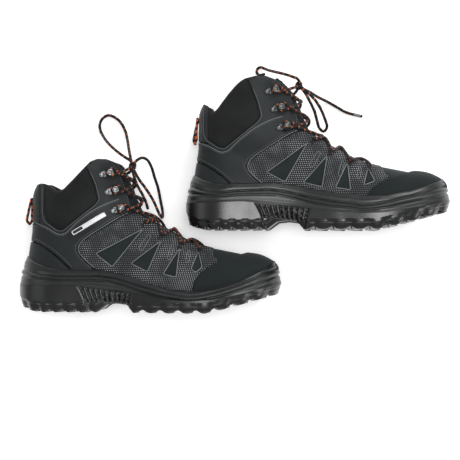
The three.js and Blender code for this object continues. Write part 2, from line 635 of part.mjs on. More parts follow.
function meshOf(name, solid, finish) {
  const { vertProperties, triVerts, numProp, numVert } = solid.getMesh();
  const points = new Float32Array(numVert * 3);
  for (let i = 0; i < numVert; i++) points.set(vertProperties.subarray(i * numProp, i * numProp + 3), i * 3);
  const geometry = new THREE.BufferGeometry().setAttribute("position", new THREE.BufferAttribute(points, 3));
  const mesh = new THREE.Mesh(geometry.setIndex(new THREE.BufferAttribute(triVerts, 1)), MATERIALS[finish]);
  mesh.name = name;
  return mesh;
}

const MIRROR = new THREE.Matrix4().makeScale(1, -1, 1);
const mirrored = (solid) => solid.mirror([0, 1, 0]);

// ---- Laying a boot on its side --------------------------------------------------------------------------
// The upright boot is turned so that its +y side is below, then tipped until it rests on three points
// with its weight between them. PIVOT keeps its place in the plan.
const PIVOT = new THREE.Vector3(150 * LONG, 0, 80 * TALL);

function centreOf(pieces) {
  const sum = new THREE.Vector3();
  let total = 0;
  for (const piece of pieces) {
    const { vertProperties, triVerts, numProp } = piece.getMesh();
    const corner = (k) => new THREE.Vector3().fromArray(vertProperties, triVerts[k] * numProp);
    for (let k = 0; k < triVerts.length; k += 3) {
      const [a, b, c] = [corner(k), corner(k + 1), corner(k + 2)];
      const sixth = a.clone().cross(b).dot(c) / 6;
      total += sixth;
      sum.addScaledVector(a.add(b).add(c), sixth / 4);
    }
  }
  return sum.divideScalar(total);
}

function restingPlace(pieces, shift) {
  const onSide = new THREE.Quaternion().setFromAxisAngle(new THREE.Vector3(1, 0, 0), -Math.PI / 2);
  const points = [];
  for (const piece of pieces) {
    const { vertProperties, numProp, numVert } = piece.getMesh();
    for (let i = 0; i < numVert; i++) points.push(new THREE.Vector3().fromArray(vertProperties, i * numProp));
  }
  points.forEach((p) => p.applyQuaternion(onSide));
  const centre = centreOf(pieces).applyQuaternion(onSide);
  const hull = new ConvexHull().setFromPoints(points);
  const down = new THREE.Vector3(0, 0, -1);
  let under = null;
  for (const face of hull.faces) {
    const slope = face.normal.dot(down);
    if (slope <= 1e-6) continue;
    const reach = (face.constant - face.normal.dot(centre)) / slope;
    if (!under || reach < under.reach) under = { reach, normal: face.normal.clone() };
  }
  const turn = new THREE.Quaternion().setFromUnitVectors(under.normal, down).multiply(onSide);
  points.forEach((p) => p.applyQuaternion(turn.clone().multiply(onSide.clone().invert())));
  const lowest = Math.min(...points.map((p) => p.z));
  const pivot = PIVOT.clone().applyQuaternion(turn);
  const place = new THREE.Vector3(PIVOT.x + shift.x - pivot.x, PIVOT.z + shift.y - pivot.y, -lowest);
  return { turn, place };
}

// ---- The free laces --------------------------------------------------------------------------------------
// [along, up the boot, height off the surface]: the first two in the boot's own side view.
const ON_GROUND = LACE / 2 + 0.3;
const FREE = {
  right: {
    lace_loop_a: [
      [132, 179, 52], [124, 184, 49], [113, 192.5, 40], [103, 202, 24], [96, 211, 9], [92, 219, ON_GROUND], [91.5, 226, ON_GROUND],
      [95, 233, ON_GROUND], [102, 236.7, ON_GROUND], [110, 234, ON_GROUND], [117, 228, ON_GROUND],
      [122.5, 218, ON_GROUND], [126, 206, 10], [129, 194, 26], [132, 184, 42],
    ],
    lace_loop_b: [
      [141, 179, 51], [146, 182, 46], [152, 180, 40], [157, 171, 34], [160, 160, 28], [164, 147, 23], [167, 131, 20],
      [169.5, 119, 24], [170, 111, 36], [167, 115, 45], [160, 131, 50], [152, 144, 52], [144, 155, 54],
    ],
    lace_end: [[138, 158, 56], [142, 148, 58], [147, 139, 56], [151, 130, 52], [153.5, 121, 48]],
  },
  left: {
    lace_loop_a: [
      [132, 179, 58], [124, 182, 58], [115, 185.5, 52], [107, 189, 40], [101, 193, 22], [96, 197, 6], [91, 199.5, ON_GROUND],
      [87, 198, ON_GROUND], [86, 193, ON_GROUND], [89, 189.5, 5], [95, 190, 11],
    ],
    lace_loop_b: [
      [144, 160, 50], [149, 151, 47], [154, 141, 43], [157, 131, 40], [160, 122, 38], [165, 118, 38], [169, 123, 40],
      [166, 133, 43], [161, 144, 47], [155, 153, 51],
    ],
    lace_end: [
      [142, 167, 46], [150, 165, 34], [158, 162, 20], [166, 159.5, 9], [174, 156.5, ON_GROUND],
      [184.5, 150.5, ON_GROUND], [194, 145, ON_GROUND], [203, 142, ON_GROUND], [214.8, 139.4, ON_GROUND],
    ],
  },
};
const FREE_STEPS = { lace_loop_a: 22, lace_loop_b: 22, lace_end: 12 };

const solids = bootSolids();
const hook = hookSolid();
const finishes = Object.fromEntries(Object.entries(solids).map(([name, [, finish]]) => [name, finish]));

function boot(side, shift) {
  const isLeft = side === "left";
  const pieces = Object.entries(solids).map(([name, [solid]]) => {
    const whole = biggest(solid);
    return [name, isLeft ? mirrored(whole) : whole];
  });
  const hooks = HOOKS.flatMap(([x, z], i) => [true, false].map((isOuter) => {
    const matrix = frameOnUpper(x, z, isOuter, HOOK_SEAT, HOOK_LEAN);
    if (isLeft) matrix.premultiply(MIRROR).multiply(MIRROR);
    return [`${side}_hook_${isOuter ? "outer" : "inner"}_${i + 1}`, matrix];
  }));
  const firm = pieces.filter(([name]) => !["lacing", "heel_loop", "label"].includes(name)).map(([, solid]) => solid);
  firm.push(...hooks.map(([, matrix]) => hook.transform(matrix.elements)));
  const { turn, place } = restingPlace(firm, shift);
  const group = new THREE.Group();
  group.quaternion.copy(turn);
  group.position.copy(place);
  for (const [name, solid] of pieces) group.add(meshOf(`${side}_${name}`, solid, finishes[name]));
  for (const [name, matrix] of hooks) {
    const mesh = meshOf(name, hook, "gunmetal");
    mesh.applyMatrix4(matrix);
    group.add(mesh);
  }
  const free = Object.entries(FREE[side]).map(([name, points]) => {
    const laid = points.map(([x, y, height]) =>
      new THREE.Vector3(x * LONG + shift.x, y * TALL + shift.y, height === ON_GROUND ? height : height * WIDE));
    return meshOf(`${side}_${name}`, cordSolid(smooth(laid, FREE_STEPS[name]), LACE), "lace");
  });
  return [group, ...free];
}

export default (() => {
  const pair = new THREE.Group();
  pair.add(...boot("right", { x: 0, y: 0 }), ...boot("left", { x: BOOT_STEP.x * LONG, y: BOOT_STEP.y * TALL }));
  // The origin goes under the middle of the firm pieces' box.
  const box = new THREE.Box3();
  for (const group of pair.children.filter((child) => child.isGroup)) box.expandByObject(group, true);
  const middle = box.getCenter(new THREE.Vector3()).setZ(0);
  pair.children.forEach((child) => child.position.sub(middle));
  return pair;
})();
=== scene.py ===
# %% [markdown]
# # A pair of hiking boots
# This notebook dresses a plain solid model of two mid-cut hiking boots. The solid model gives the
# places and the sizes. Here each soft and moulded piece is made again as a fine mesh, with stitching,
# grain and weave. The boots lie on their sides, as they do when someone takes them off, so the laces
# fall flat beside them. Both boots are made once, in the frame of an upright boot, and laid down.

# %% Load the frame
import json
import math

import bmesh
import bpy
import numpy as np
from mathutils import Matrix, Vector

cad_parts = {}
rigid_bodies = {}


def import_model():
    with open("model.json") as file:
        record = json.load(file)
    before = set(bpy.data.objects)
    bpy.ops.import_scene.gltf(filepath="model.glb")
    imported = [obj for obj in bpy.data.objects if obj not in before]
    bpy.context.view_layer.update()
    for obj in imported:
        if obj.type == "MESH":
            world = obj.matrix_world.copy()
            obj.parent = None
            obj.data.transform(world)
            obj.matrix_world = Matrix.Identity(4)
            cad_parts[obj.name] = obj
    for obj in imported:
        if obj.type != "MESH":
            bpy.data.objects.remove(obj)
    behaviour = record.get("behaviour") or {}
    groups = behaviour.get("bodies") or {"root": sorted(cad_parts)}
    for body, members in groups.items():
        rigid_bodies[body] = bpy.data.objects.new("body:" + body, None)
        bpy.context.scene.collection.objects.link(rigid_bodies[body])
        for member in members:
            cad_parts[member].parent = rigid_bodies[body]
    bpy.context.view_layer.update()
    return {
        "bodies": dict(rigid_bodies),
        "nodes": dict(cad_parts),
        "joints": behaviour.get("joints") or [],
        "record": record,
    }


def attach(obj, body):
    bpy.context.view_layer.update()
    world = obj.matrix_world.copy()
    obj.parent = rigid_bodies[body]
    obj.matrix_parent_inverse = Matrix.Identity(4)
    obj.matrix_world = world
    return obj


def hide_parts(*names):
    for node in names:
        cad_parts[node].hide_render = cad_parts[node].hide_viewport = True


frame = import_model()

# %% [markdown]
# ## Where the boots lie
# Each boot has a flat tread face and a heel loop hinge in the record. The tread's normal is the boot's
# own downward direction and the hinge runs from its outer side to its inner side, so those two give the
# boot's whole frame. An upright boot has x from heel to toe, y across and z up, in millimetres. The left
# boot is the mirror image of the right one.

# %% The boots' own frames
MM = 0.001
TREAD_POINT = Vector((148.0, -4.4, 0.0))  # the place of the tread mount in the upright right boot
mounts = {m["name"]: m for m in frame["record"]["mounts"]}
hinges = {j["name"]: j for j in frame["joints"]}


def boot_matrix(side):
    """Upright millimetres to row metres."""
    mount, hinge = mounts[side + "_tread"], hinges[side + "_heel_loop_swing"]
    up = -Vector(mount["axis"]).normalized()
    across = Vector(hinge["axis"])
    across = (across - up * across.dot(up)).normalized()
    along = across.cross(up)
    turn = Matrix((along, across, up)).transposed()
    mirror = 1 if side == "right" else -1
    point = Vector((TREAD_POINT.x, TREAD_POINT.y * mirror, 0.0)) * MM
    place = Vector(mount["pos_m"]) - turn @ point
    return np.array(turn) * MM, np.array(place)


BOOTS = {side: boot_matrix(side) for side in ("right", "left")}
for side, (turn, place) in BOOTS.items():
    print(side, "boot's heel point is at", np.round(place, 4))

# %% [markdown]
# ## Light and camera
# A black boot on a white floor needs wide soft lights, or the leather turns into a black hole. A picture
# of a studio could light it too, but a few large panels are easier to steer. The panel above gives the
# even light and draws the broad streak on the heel block. A second one stands beyond the left boot, and
# three weak ones fill in the sides. The camera looks straight down, because the boots lie on the floor.

# %% Camera
CAMERA_HEIGHT = 1.50
VIEW_CENTRE = (-0.0036, -0.0466)
FOCAL_LENGTH = 95.6
SENSOR_WIDTH = 36.0
camera = bpy.data.objects.new("camera", bpy.data.cameras.new("camera"))
camera.data.lens = FOCAL_LENGTH
camera.data.sensor_width = SENSOR_WIDTH
camera.location = (*VIEW_CENTRE, CAMERA_HEIGHT)
camera.rotation_euler = (0.0, 0.0, 0.0)
bpy.context.collection.objects.link(camera)
bpy.context.scene.camera = camera
print("the camera sees", round(CAMERA_HEIGHT * SENSOR_WIDTH / FOCAL_LENGTH, 3), "m of the floor")

# %% Lights
LIGHTS = {  # place, target, width and height in metres, watts
    "light_above": ((-0.02, 0.12, 2.0), (0.03, 0.04, 0.0), (0.80, 0.40), 15.0),
    "light_far_side": ((0.7, 1.3, 1.3), (0.05, 0.0, 0.05), (1.1, 0.8), 20.0),
    "light_toe_side": ((1.4, -0.4, 0.8), (0.05, 0.0, 0.05), (0.8, 0.6), 6.5),
    "light_heel_side": ((-1.3, 0.2, 0.9), (-0.05, 0.0, 0.05), (0.8, 0.6), 1.5),
    "light_sole_side": ((0.0, -1.4, 0.8), (0.0, -0.05, 0.05), (1.2, 0.5), 5.0),
}
WORLD_STRENGTH = 0.42

for name, (place, target, size, power) in LIGHTS.items():
    lamp = bpy.data.lights.new(name, "AREA")
    lamp.shape, lamp.size, lamp.size_y = "RECTANGLE", *size
    lamp.energy = power
    lamp_object = bpy.data.objects.new(name, lamp)
    lamp_object.location = place
    lamp_object.rotation_mode = "QUATERNION"
    lamp_object.rotation_quaternion = (Vector(target) - Vector(place)).to_track_quat("-Z", "Y")
    bpy.context.collection.objects.link(lamp_object)

world = bpy.data.worlds.new("studio")
world.use_nodes = True
background = world.node_tree.nodes["Background"]
background.inputs["Color"].default_value = (1.0, 1.0, 1.0, 1.0)
background.inputs["Strength"].default_value = WORLD_STRENGTH
bpy.context.scene.world = world
bpy.context.scene.view_settings.view_transform = "Standard"
print(len(LIGHTS), "panels lit")

# %% [markdown]
# ## Materials
# Every finish is a node tree with no pictures in it. Nearly all of them need the same three things: a
# base colour that varies a little over the surface, a roughness, and a bump of the right scale. So one
# helper makes that tree, and each finish adds what makes it special: leather has a cell grain, suede has
# a nap with sheen, the cage has a woven dot pattern, and the rubber has a soft satin gloss.


# %% Node helpers
TURN = 2 * math.pi
FLAT_SCALE = 0.01  # flat coordinates per millimetre


class Nodes:
    """A small hand for building a material's node tree."""

    def __init__(self, name):
        self.material = bpy.data.materials.new(name)
        self.material.use_nodes = True
        self.tree = self.material.node_tree
        self.shader = self.tree.nodes["Principled BSDF"]
        self.coordinates = self.tree.nodes.new("ShaderNodeTexCoord")

    def add(self, kind, **settings):
        node = self.tree.nodes.new("ShaderNode" + kind)
        for key, value in settings.items():
            setattr(node, key, value)
        return node

    def put(self, value, socket):
        if isinstance(value, bpy.types.NodeSocket):
            self.tree.links.new(value, socket)
        else:
            socket.default_value = value

    def maths(self, operation, a, b=0.0, c=0.0):
        node = self.add("Math", operation=operation)
        for value, socket in zip((a, b, c), node.inputs):
            self.put(value, socket)
        return node.outputs[0]

    def mix(self, share, a, b):
        node = self.add("Mix", data_type="RGBA")
        self.put(share, node.inputs[0])
        self.put(a, node.inputs[6])
        self.put(b, node.inputs[7])
        return node.outputs[2]

    def ramp(self, value, stops):
        node = self.add("ValToRGB")
        self.put(value, node.inputs[0])
        elements = node.color_ramp.elements
        while len(elements) < len(stops):
            elements.new(0.5)
        for element, (place, colour) in zip(elements, stops):
            element.position = place
            element.color = (*colour, 1.0) if len(colour) == 3 else colour
        return node.outputs[0]

    def noise(self, scale, detail=3.0, roughness=0.55):
        node = self.add("TexNoise")
        self.put(self.coordinates.outputs["Object"], node.inputs["Vector"])
        node.inputs["Scale"].default_value = scale
        node.inputs["Detail"].default_value = detail
        node.inputs["Roughness"].default_value = roughness
        return node.outputs["Fac"]

    def cells(self, scale):
        node = self.add("TexVoronoi", feature="F1")
        self.put(self.coordinates.outputs["Object"], node.inputs["Vector"])
        node.inputs["Scale"].default_value = scale
        return node.outputs["Distance"]

    def flat(self):
        """The two parts of the flat coordinates, in millimetres."""
        node = self.add("SeparateXYZ")
        self.put(self.coordinates.outputs["UV"], node.inputs[0])
        return [self.maths("MULTIPLY", node.outputs[k], 1 / FLAT_SCALE) for k in (0, 1)]

    def bump(self, height, strength, distance=0.0005):
        node = self.add("Bump")
        node.inputs["Strength"].default_value = strength
        node.inputs["Distance"].default_value = distance
        self.put(height, node.inputs["Height"])
        if self.shader.inputs["Normal"].is_linked:
            old = self.shader.inputs["Normal"].links[0].from_socket
            self.put(old, node.inputs["Normal"])
        self.put(node.outputs[0], self.shader.inputs["Normal"])

    def finish(self, colour, roughness, **values):
        self.put(colour, self.shader.inputs["Base Color"])
        self.put(roughness, self.shader.inputs["Roughness"])
        for key, value in values.items():
            self.shader.inputs[key.replace("_", " ")].default_value = value
        return self.material


def two_tone(nodes, dark, light, scale, low=0.35, high=0.65):
    """A colour that drifts between two tones over the surface."""
    return nodes.ramp(nodes.noise(scale), [(low, dark), (high, light)])


print("node helper ready")


# %% Leather, suede and soft fabric
def leather_finish():
    n = Nodes("quarter_leather")
    colour = two_tone(n, (0.0055, 0.0078, 0.0086), (0.0105, 0.0132, 0.0142), 14.0)
    grain = n.cells(620.0)
    n.bump(grain, 0.22, 0.0004)
    n.bump(n.noise(55.0, 4.0), 0.25, 0.0008)
    rough = n.maths("MULTIPLY_ADD", n.noise(60.0), 0.22, 0.42)
    return n.finish(colour, rough, Specular_IOR_Level=0.26)


def suede_finish():
    n = Nodes("toe_suede")
    colour = n.mix(
        n.noise(900.0, 2.0),
        two_tone(n, (0.006, 0.0085, 0.009), (0.012, 0.015, 0.016), 22.0),
        (0.019, 0.023, 0.024, 1.0),
    )
    n.bump(n.noise(1100.0, 3.0, 0.7), 0.55, 0.0005)
    n.bump(n.noise(120.0, 4.0), 0.25, 0.0008)
    return n.finish(colour, 0.92, Sheen_Weight=0.06, Sheen_Roughness=0.5, Specular_IOR_Level=0.12)


def fabric_finish(name, dark, light, pitch, strength=0.4, roughness=0.85, sheen=0.2):
    """A plain weave: two waves across each other, in the piece's flat coordinates."""
    n = Nodes(name)
    u, v = n.flat()
    warp = n.maths("SINE", n.maths("MULTIPLY", u, TURN / pitch))
    weft = n.maths("SINE", n.maths("MULTIPLY", v, TURN / pitch))
    weave = n.maths("MULTIPLY", warp, weft)
    n.bump(weave, strength, 0.0003)
    n.bump(n.noise(70.0, 4.0), 0.25, 0.001)
    colour = two_tone(n, dark, light, 25.0)
    return n.finish(colour, roughness, Sheen_Weight=sheen, Sheen_Roughness=0.5, Specular_IOR_Level=0.18)


LEATHER = leather_finish()
SUEDE = suede_finish()
SOFTSHELL = fabric_finish(
    "collar_softshell", (0.0065, 0.0068, 0.007), (0.0115, 0.012, 0.0125), 1.3, 0.25, 0.8, 0.04
)
LINING = fabric_finish("lining_knit", (0.008, 0.009, 0.010), (0.015, 0.016, 0.017), 2.4, 0.6, 0.85, 0.05)
TONGUE = fabric_finish("tongue_fabric", (0.006, 0.007, 0.008), (0.012, 0.014, 0.015), 1.8, 0.5, 0.85, 0.04)
VAMP = fabric_finish("window_textile", (0.010, 0.014, 0.015), (0.017, 0.022, 0.023), 1.5, 0.3, 0.8, 0.04)
print("made", len(bpy.data.materials), "materials")


# %% The cage's woven dots
def cage_finish():
    """Small pale ticks in slanted rows, which is the light yarn that comes up between the dark ones."""
    n = Nodes("cage_mesh")
    u, v = n.flat()
    row_pitch, tick_pitch = 2.3, 2.5
    slant = n.maths("ADD", u, n.maths("MULTIPLY", v, 0.30))
    across = n.maths("MULTIPLY", slant, TURN / tick_pitch)
    row = n.maths("MULTIPLY", v, TURN / row_pitch)
    pattern = n.maths("MULTIPLY", n.maths("ADD", n.maths("SINE", across), n.maths("SINE", row)), 0.5)
    tick = n.ramp(pattern, [(0.46, (0, 0, 0)), (0.72, (1, 1, 1))])
    uneven = n.ramp(n.noise(45.0, 2.0), [(0.38, (0.25, 0.25, 0.25)), (0.62, (1, 1, 1))])
    light = n.maths("MULTIPLY", tick, uneven)
    ground = two_tone(n, (0.007, 0.009, 0.0095), (0.013, 0.016, 0.017), 20.0)
    colour = n.mix(light, ground, (0.33, 0.325, 0.34, 1.0))
    n.bump(pattern, 0.5, 0.0005)
    rough = n.maths("MULTIPLY_ADD", tick, -0.3, 0.75)
    return n.finish(colour, rough, Specular_IOR_Level=0.3)


CAGE = cage_finish()


# %% Rubber, metal and the rest
def rubber_finish(name, dark, light, roughness, spread, coat=0.0):
    n = Nodes(name)
    colour = two_tone(n, dark, light, 18.0)
    n.bump(n.noise(300.0, 2.0), 0.04, 0.0002)
    rough = n.maths("MULTIPLY_ADD", n.noise(30.0, 3.0), spread, roughness)
    return n.finish(colour, rough, Coat_Weight=coat, Coat_Roughness=0.35, Specular_IOR_Level=0.5)


def metal_finish(name, colour, roughness):
    n = Nodes(name)
    scuff = n.ramp(n.noise(350.0, 4.0), [(0.3, (0.5, 0.5, 0.5)), (0.7, (1, 1, 1))])
    rough = n.maths("MULTIPLY_ADD", scuff, 0.18, roughness)
    n.bump(n.noise(800.0, 2.0), 0.08, 0.0002)
    return n.finish(n.mix(0.85, scuff, (*colour, 1.0)), rough, Metallic=1.0)


def plain_finish(name, colour, roughness, grain=500.0, strength=0.2):
    n = Nodes(name)
    dark = tuple(0.8 * c for c in colour)
    n.bump(n.noise(grain, 3.0), strength, 0.0003)
    return n.finish(two_tone(n, dark, colour, 30.0), roughness, Specular_IOR_Level=0.3)


RUBBER = rubber_finish("outsole_rubber", (0.0045, 0.0048, 0.005), (0.0085, 0.009, 0.0093), 0.19, 0.14)
FOAM = rubber_finish("midsole_foam", (0.0055, 0.0063, 0.0066), (0.010, 0.0112, 0.0118), 0.25, 0.16)
HOOK_METAL = metal_finish("hook_metal", (0.16, 0.165, 0.175), 0.2)
# The inner hooks are the same gunmetal as the outer ones, painted darker: painted shade.
HOOK_METAL_PAINTED_SHADE = metal_finish("hook_metal_inner", (0.022, 0.023, 0.025), 0.26)
SHANK_STEEL = metal_finish("shank_steel", (0.6, 0.6, 0.62), 0.3)
BOARD = plain_finish("board_fibre", (0.45, 0.38, 0.28), 0.85, 300.0, 0.4)
STIFFENER = plain_finish("stiffener_plastic", (0.22, 0.22, 0.20), 0.5)
STITCH = plain_finish("stitch_thread", (0.085, 0.092, 0.095), 0.7, 900.0, 0.4)
PIPING = plain_finish("window_edge", (0.17, 0.18, 0.185), 0.5, 900.0, 0.3)
LABEL = plain_finish("label_woven", (0.80, 0.80, 0.80), 0.45, 1500.0, 0.2)
AGLET = plain_finish("aglet_plastic", (0.15, 0.155, 0.16), 0.3)
EYELET = plain_finish("eyelet_ring", (0.010, 0.011, 0.012), 0.45)
LABEL_DARK = plain_finish("label_block", (0.02, 0.021, 0.022), 0.5, 1500.0, 0.2)


# %% The lace
def lace_finish(name="lace_braid", fleck_pitch=8.6, fleck_share=0.19, colour=(0.42, 0.098, 0.028)):
    """Flat coordinates: u runs along the lace in millimetres and v once round it."""
    n = Nodes(name)
    u, v = n.flat()
    turn = n.maths("MULTIPLY", v, FLAT_SCALE)
    # Two rows of flecks on opposite sides, half a pitch apart, and each leans with the braid.
    fleck_width, fleck_lean = 0.27, 0.7
    flecks = []
    for shift in (0.0, 0.5):
        place = n.maths("ADD", n.maths("DIVIDE", u, fleck_pitch), shift)
        place = n.maths("ADD", place, n.maths("MULTIPLY", turn, fleck_lean))
        along = n.maths("LESS_THAN", n.maths("FRACT", place), fleck_share)
        around = n.maths("LESS_THAN", n.maths("FRACT", n.maths("ADD", turn, shift)), fleck_width)
        flecks.append(n.maths("MULTIPLY", along, around))
    # The braid is two sets of strands that wind round the lace in opposite ways.
    strand_pitch, strands = 1.6, 4.0
    along, around = n.maths("DIVIDE", u, strand_pitch), n.maths("MULTIPLY", turn, strands)
    windings = [
        n.maths("SINE", n.maths("MULTIPLY", n.maths(way, along, around), TURN)) for way in ("ADD", "SUBTRACT")
    ]
    braid = n.maths("MAXIMUM", *windings)
    n.bump(braid, 0.6, 0.0003)
    # The braid's grooves are painted darker and its strand tops lighter: painted shade and painted sheen on the
    # black yarn.
    black = n.ramp(braid, [(0.2, (0.004, 0.0045, 0.005)), (0.9, (0.013, 0.014, 0.015))])
    fleck = n.maths("MAXIMUM", *flecks)
    return n.finish(
        n.mix(fleck, black, (*colour, 1.0)), 0.72, Sheen_Weight=0.04, Sheen_Roughness=0.5, Specular_IOR_Level=0.2
    )


LACE_BRAID = lace_finish()
LOOP_BRAID = lace_finish("heel_loop_braid", 7.0, 0.55, (0.45, 0.105, 0.035))
print("made", len(bpy.data.materials), "materials")

# %% [markdown]
# ## The last
# A boot is pulled over a wooden last, and every panel of the upper follows its surface. So the last comes
# first, as a formula: a closed loop at each level, which has the foot's plan low down and turns into an
# ankle higher up. A point of the surface has two coordinates, the turn round the loop and the level. Each
# layer of the upper is the same surface moved out or in along its own normal, so no two layers cross.

# %% Sizes of the last
SOLE_LENGTH = 312.0
LEVELS = [  # back x and z, front x and z, the foot's share, the ankle's half-width, roundness, sag
    (16, 32, 299, 34, 0.95, 36, 0, 11),
    (11, 46, 307, 45, 1, 36, 0, 9),
    (12, 62, 302, 56.5, 0.985, 36, 0.05, 6.5),
    (14, 77, 270, 66.5, 0.89, 36, 0.22, 2.5),
    (16.5, 94, 216, 78.5, 0.8, 36, 0.55, 0),
    (17, 106, 182, 96, 0.8, 35, 0.8, 0),
    (17.5, 121, 152, 116, 0.8, 34, 1, 0),
    (18, 138, 139, 141, 0.8, 34.5, 1, 0),
    (26, 158, 130, 166, 0.8, 37, 1, 0),
    (38, 192, 121, 198, 0.8, 40, 1, 0),
]
LEVEL_TABLE = np.array(LEVELS, dtype=float)
TOP_LEVEL = len(LEVELS) - 1
TOE_SHIFT = 4
FOOT_OUTER = np.array([-TOE_SHIFT, 17, 34, 46, 46, 38, 35, 32, 19, 0], dtype=float)
FOOT_INNER = np.array([TOE_SHIFT, 22, 38, 45, 39, 31, 31, 31, 19, 0], dtype=float)
SOLE_OUTER = np.array([-TOE_SHIFT, 22, 42, 54, 53, 44, 41, 38, 25, 0], dtype=float)
SOLE_INNER = np.array([TOE_SHIFT, 27, 44, 50, 44, 36, 37, 37, 25, 0], dtype=float)
ANKLE_SQUARE = 0.85  # under 1 the ankle's loop is a little square
SAG_LEAN = 1.6  # over 1 the sag sits nearer the toe
WIDTH_STATIONS = 9  # the widths above are given at this many steps from heel to toe
print("the last has", len(LEVELS), "levels")

# %% A point of the last


def between(values, at):
    """Smooth values of a table at fractional places."""
    at = np.asarray(at, dtype=float)
    i = np.clip(np.floor(at).astype(int), 0, len(values) - 2)
    t = at - i
    a, b = values[i], values[i + 1]
    before = np.where(i > 0, values[np.maximum(i - 1, 0)], 2 * a - b)
    after = np.where(i + 2 < len(values), values[np.minimum(i + 2, len(values) - 1)], 2 * b - a)
    return 0.5 * (
        2 * a
        + (b - before) * t
        + (2 * before - 5 * a + 4 * b - after) * t * t
        + (3 * a - before - 3 * b + after) * t**3
    )


def half_width(outer, inner, turn):
    turn = np.mod(turn, TURN)
    is_outer = turn <= math.pi
    angle = np.where(is_outer, turn, TURN - turn) / (math.pi / WIDTH_STATIONS)
    return np.where(is_outer, -between(outer, angle), between(inner, angle))


def sag_curve(s):
    return np.sin(math.pi * np.clip(s, 0, 1) ** SAG_LEAN)


def on_last(turn, level):
    """The surface's points, from the turn round each loop and the level."""
    turn, level = np.broadcast_arrays(np.asarray(turn, float), np.asarray(level, float))
    back_x, back_z, front_x, front_z, foot_share, ankle_half, roundness, sag = (
        between(LEVEL_TABLE[:, k], level) for k in range(LEVEL_TABLE.shape[1])
    )
    s = (1 + np.cos(turn)) / 2
    roundness = np.clip(roundness, 0, 1)
    side = np.where(np.sin(turn) > 0, -1.0, 1.0)
    foot = half_width(FOOT_OUTER, FOOT_INNER, turn) * foot_share
    ankle = side * ankle_half * np.abs(np.sin(turn)) ** ANKLE_SQUARE
    x = back_x * (1 - s) + front_x * s
    z = back_z * (1 - s) + front_z * s - sag * sag_curve(s)
    return np.stack([x, foot * (1 - roundness) + ankle * roundness, z], axis=-1)


def out_of_last(turn, level):
    step = 0.02
    low = np.maximum(0, np.asarray(level, float) - step)
    around = on_last(turn + step, level) - on_last(turn - step, level)
    up = on_last(turn, level + step) - on_last(turn, low)
    normal = np.cross(up, around)
    return normal / np.linalg.norm(normal, axis=-1, keepdims=True)


def at_depth(turn, level, depth):
    depth = np.asarray(depth, dtype=float)
    return on_last(turn, level) + out_of_last(turn, level) * depth[..., None]


print("instep at", np.round(on_last(0.0, 6.0), 1), "heel at", np.round(on_last(math.pi, 2.0), 1))


# %% The way back: from a place to the last
# A pattern line is drawn in a flat view, so its points have to be found again on the curved surface.
# Newton's steps do that: the two slopes of the surface say how far to turn and how far to climb.
SLOPE_STEP = 1e-3


def found_on_last(target, axes, turn, level, steps, longest, limits):
    """Turn and level where the two axes of the surface's point equal the target."""
    for _ in range(steps):
        p = on_last(turn, level)
        by_turn = ((on_last(turn + SLOPE_STEP, level) - p) / SLOPE_STEP)[..., axes]
        by_level = ((on_last(turn, level + SLOPE_STEP) - p) / SLOPE_STEP)[..., axes]
        det = by_turn[..., 0] * by_level[..., 1] - by_level[..., 0] * by_turn[..., 1]
        det = np.where(np.abs(det) < 1e-6, 1e-6, det)
        miss = target - p[..., axes]
        more_turn = (miss[..., 0] * by_level[..., 1] - miss[..., 1] * by_level[..., 0]) / det
        more_level = (by_turn[..., 0] * miss[..., 1] - by_turn[..., 1] * miss[..., 0]) / det
        turn = turn + np.clip(more_turn, -longest[0], longest[0])
        level = np.clip(level + np.clip(more_level, -longest[1], longest[1]), *limits)
    return turn, level


def find_on_last(x, z, outer=True):
    """Turn and level of the points at x, z in the side view."""
    target = np.stack([np.asarray(x, float), np.asarray(z, float)], axis=-1)
    turn = np.full(target.shape[:-1], 1.2 if outer else -1.2)
    level = np.full(target.shape[:-1], 5.0)
    turn, level = found_on_last(target, [0, 2], turn, level, 50, (0.2, 1.0), (0, TOP_LEVEL - 0.05))
    return np.mod(turn, TURN), level


INSTEP_X, INSTEP_LEVELS = [152, 182, 216, 270], [6.0, 5.0, 4.0, 3.0]


def find_from_above(x, y):
    """Turn and level of the points at x, y in the plan, on the instep."""
    level = np.interp(x, INSTEP_X, INSTEP_LEVELS)
    return found_on_last(np.stack([x, y], axis=-1), [0, 1], y * -0.01, level, 60, (0.15, 0.5), (2.5, 7.5))


print("the side view's point 120, 80 is at turn and level", *find_on_last(120.0, 80.0))

# %% [markdown]
# ## From arrays to pieces
# Each piece is worked out as arrays of points and faces, then handed to Blender in one go. The helper
# below lays the points down with the boot, mirrors them for the left one, makes them ride on the boot's
# body and says which solid they stand for.


# %% Mesh helper
def laid(points, side):
    """Upright millimetres to row metres, mirrored for the left boot."""
    turn, place = BOOTS[side]
    points = np.array(points, dtype=float)
    if side == "left":
        points = points * np.array([1.0, -1.0, 1.0])
    return points @ turn.T + place


def new_mesh(name, points, faces, finish, flat=None, sharp=math.radians(40)):
    """points in row metres, faces as lists of corner numbers, flat as millimetre pairs per point."""
    if name in frame["nodes"]:
        name += "_visual"
    mesh = bpy.data.meshes.new(name)
    mesh.from_pydata([tuple(p) for p in points], [], [tuple(int(c) for c in f) for f in faces])
    mesh.validate()
    mesh.materials.append(finish)
    mesh.polygons.foreach_set("use_smooth", [True] * len(mesh.polygons))
    if flat is not None:
        layer = mesh.uv_layers.new(name="flat")
        corners = np.empty(len(mesh.loops), dtype=np.int32)
        mesh.loops.foreach_get("vertex_index", corners)
        layer.data.foreach_set("uv", (np.asarray(flat)[corners] * FLAT_SCALE).ravel().astype(np.float32))
    mesh.update()
    if sharp:
        mesh.set_sharp_from_angle(angle=sharp)
    piece = bpy.data.objects.new(name, mesh)
    bpy.context.collection.objects.link(piece)
    return piece


PIECES = {}  # the pieces by side and name


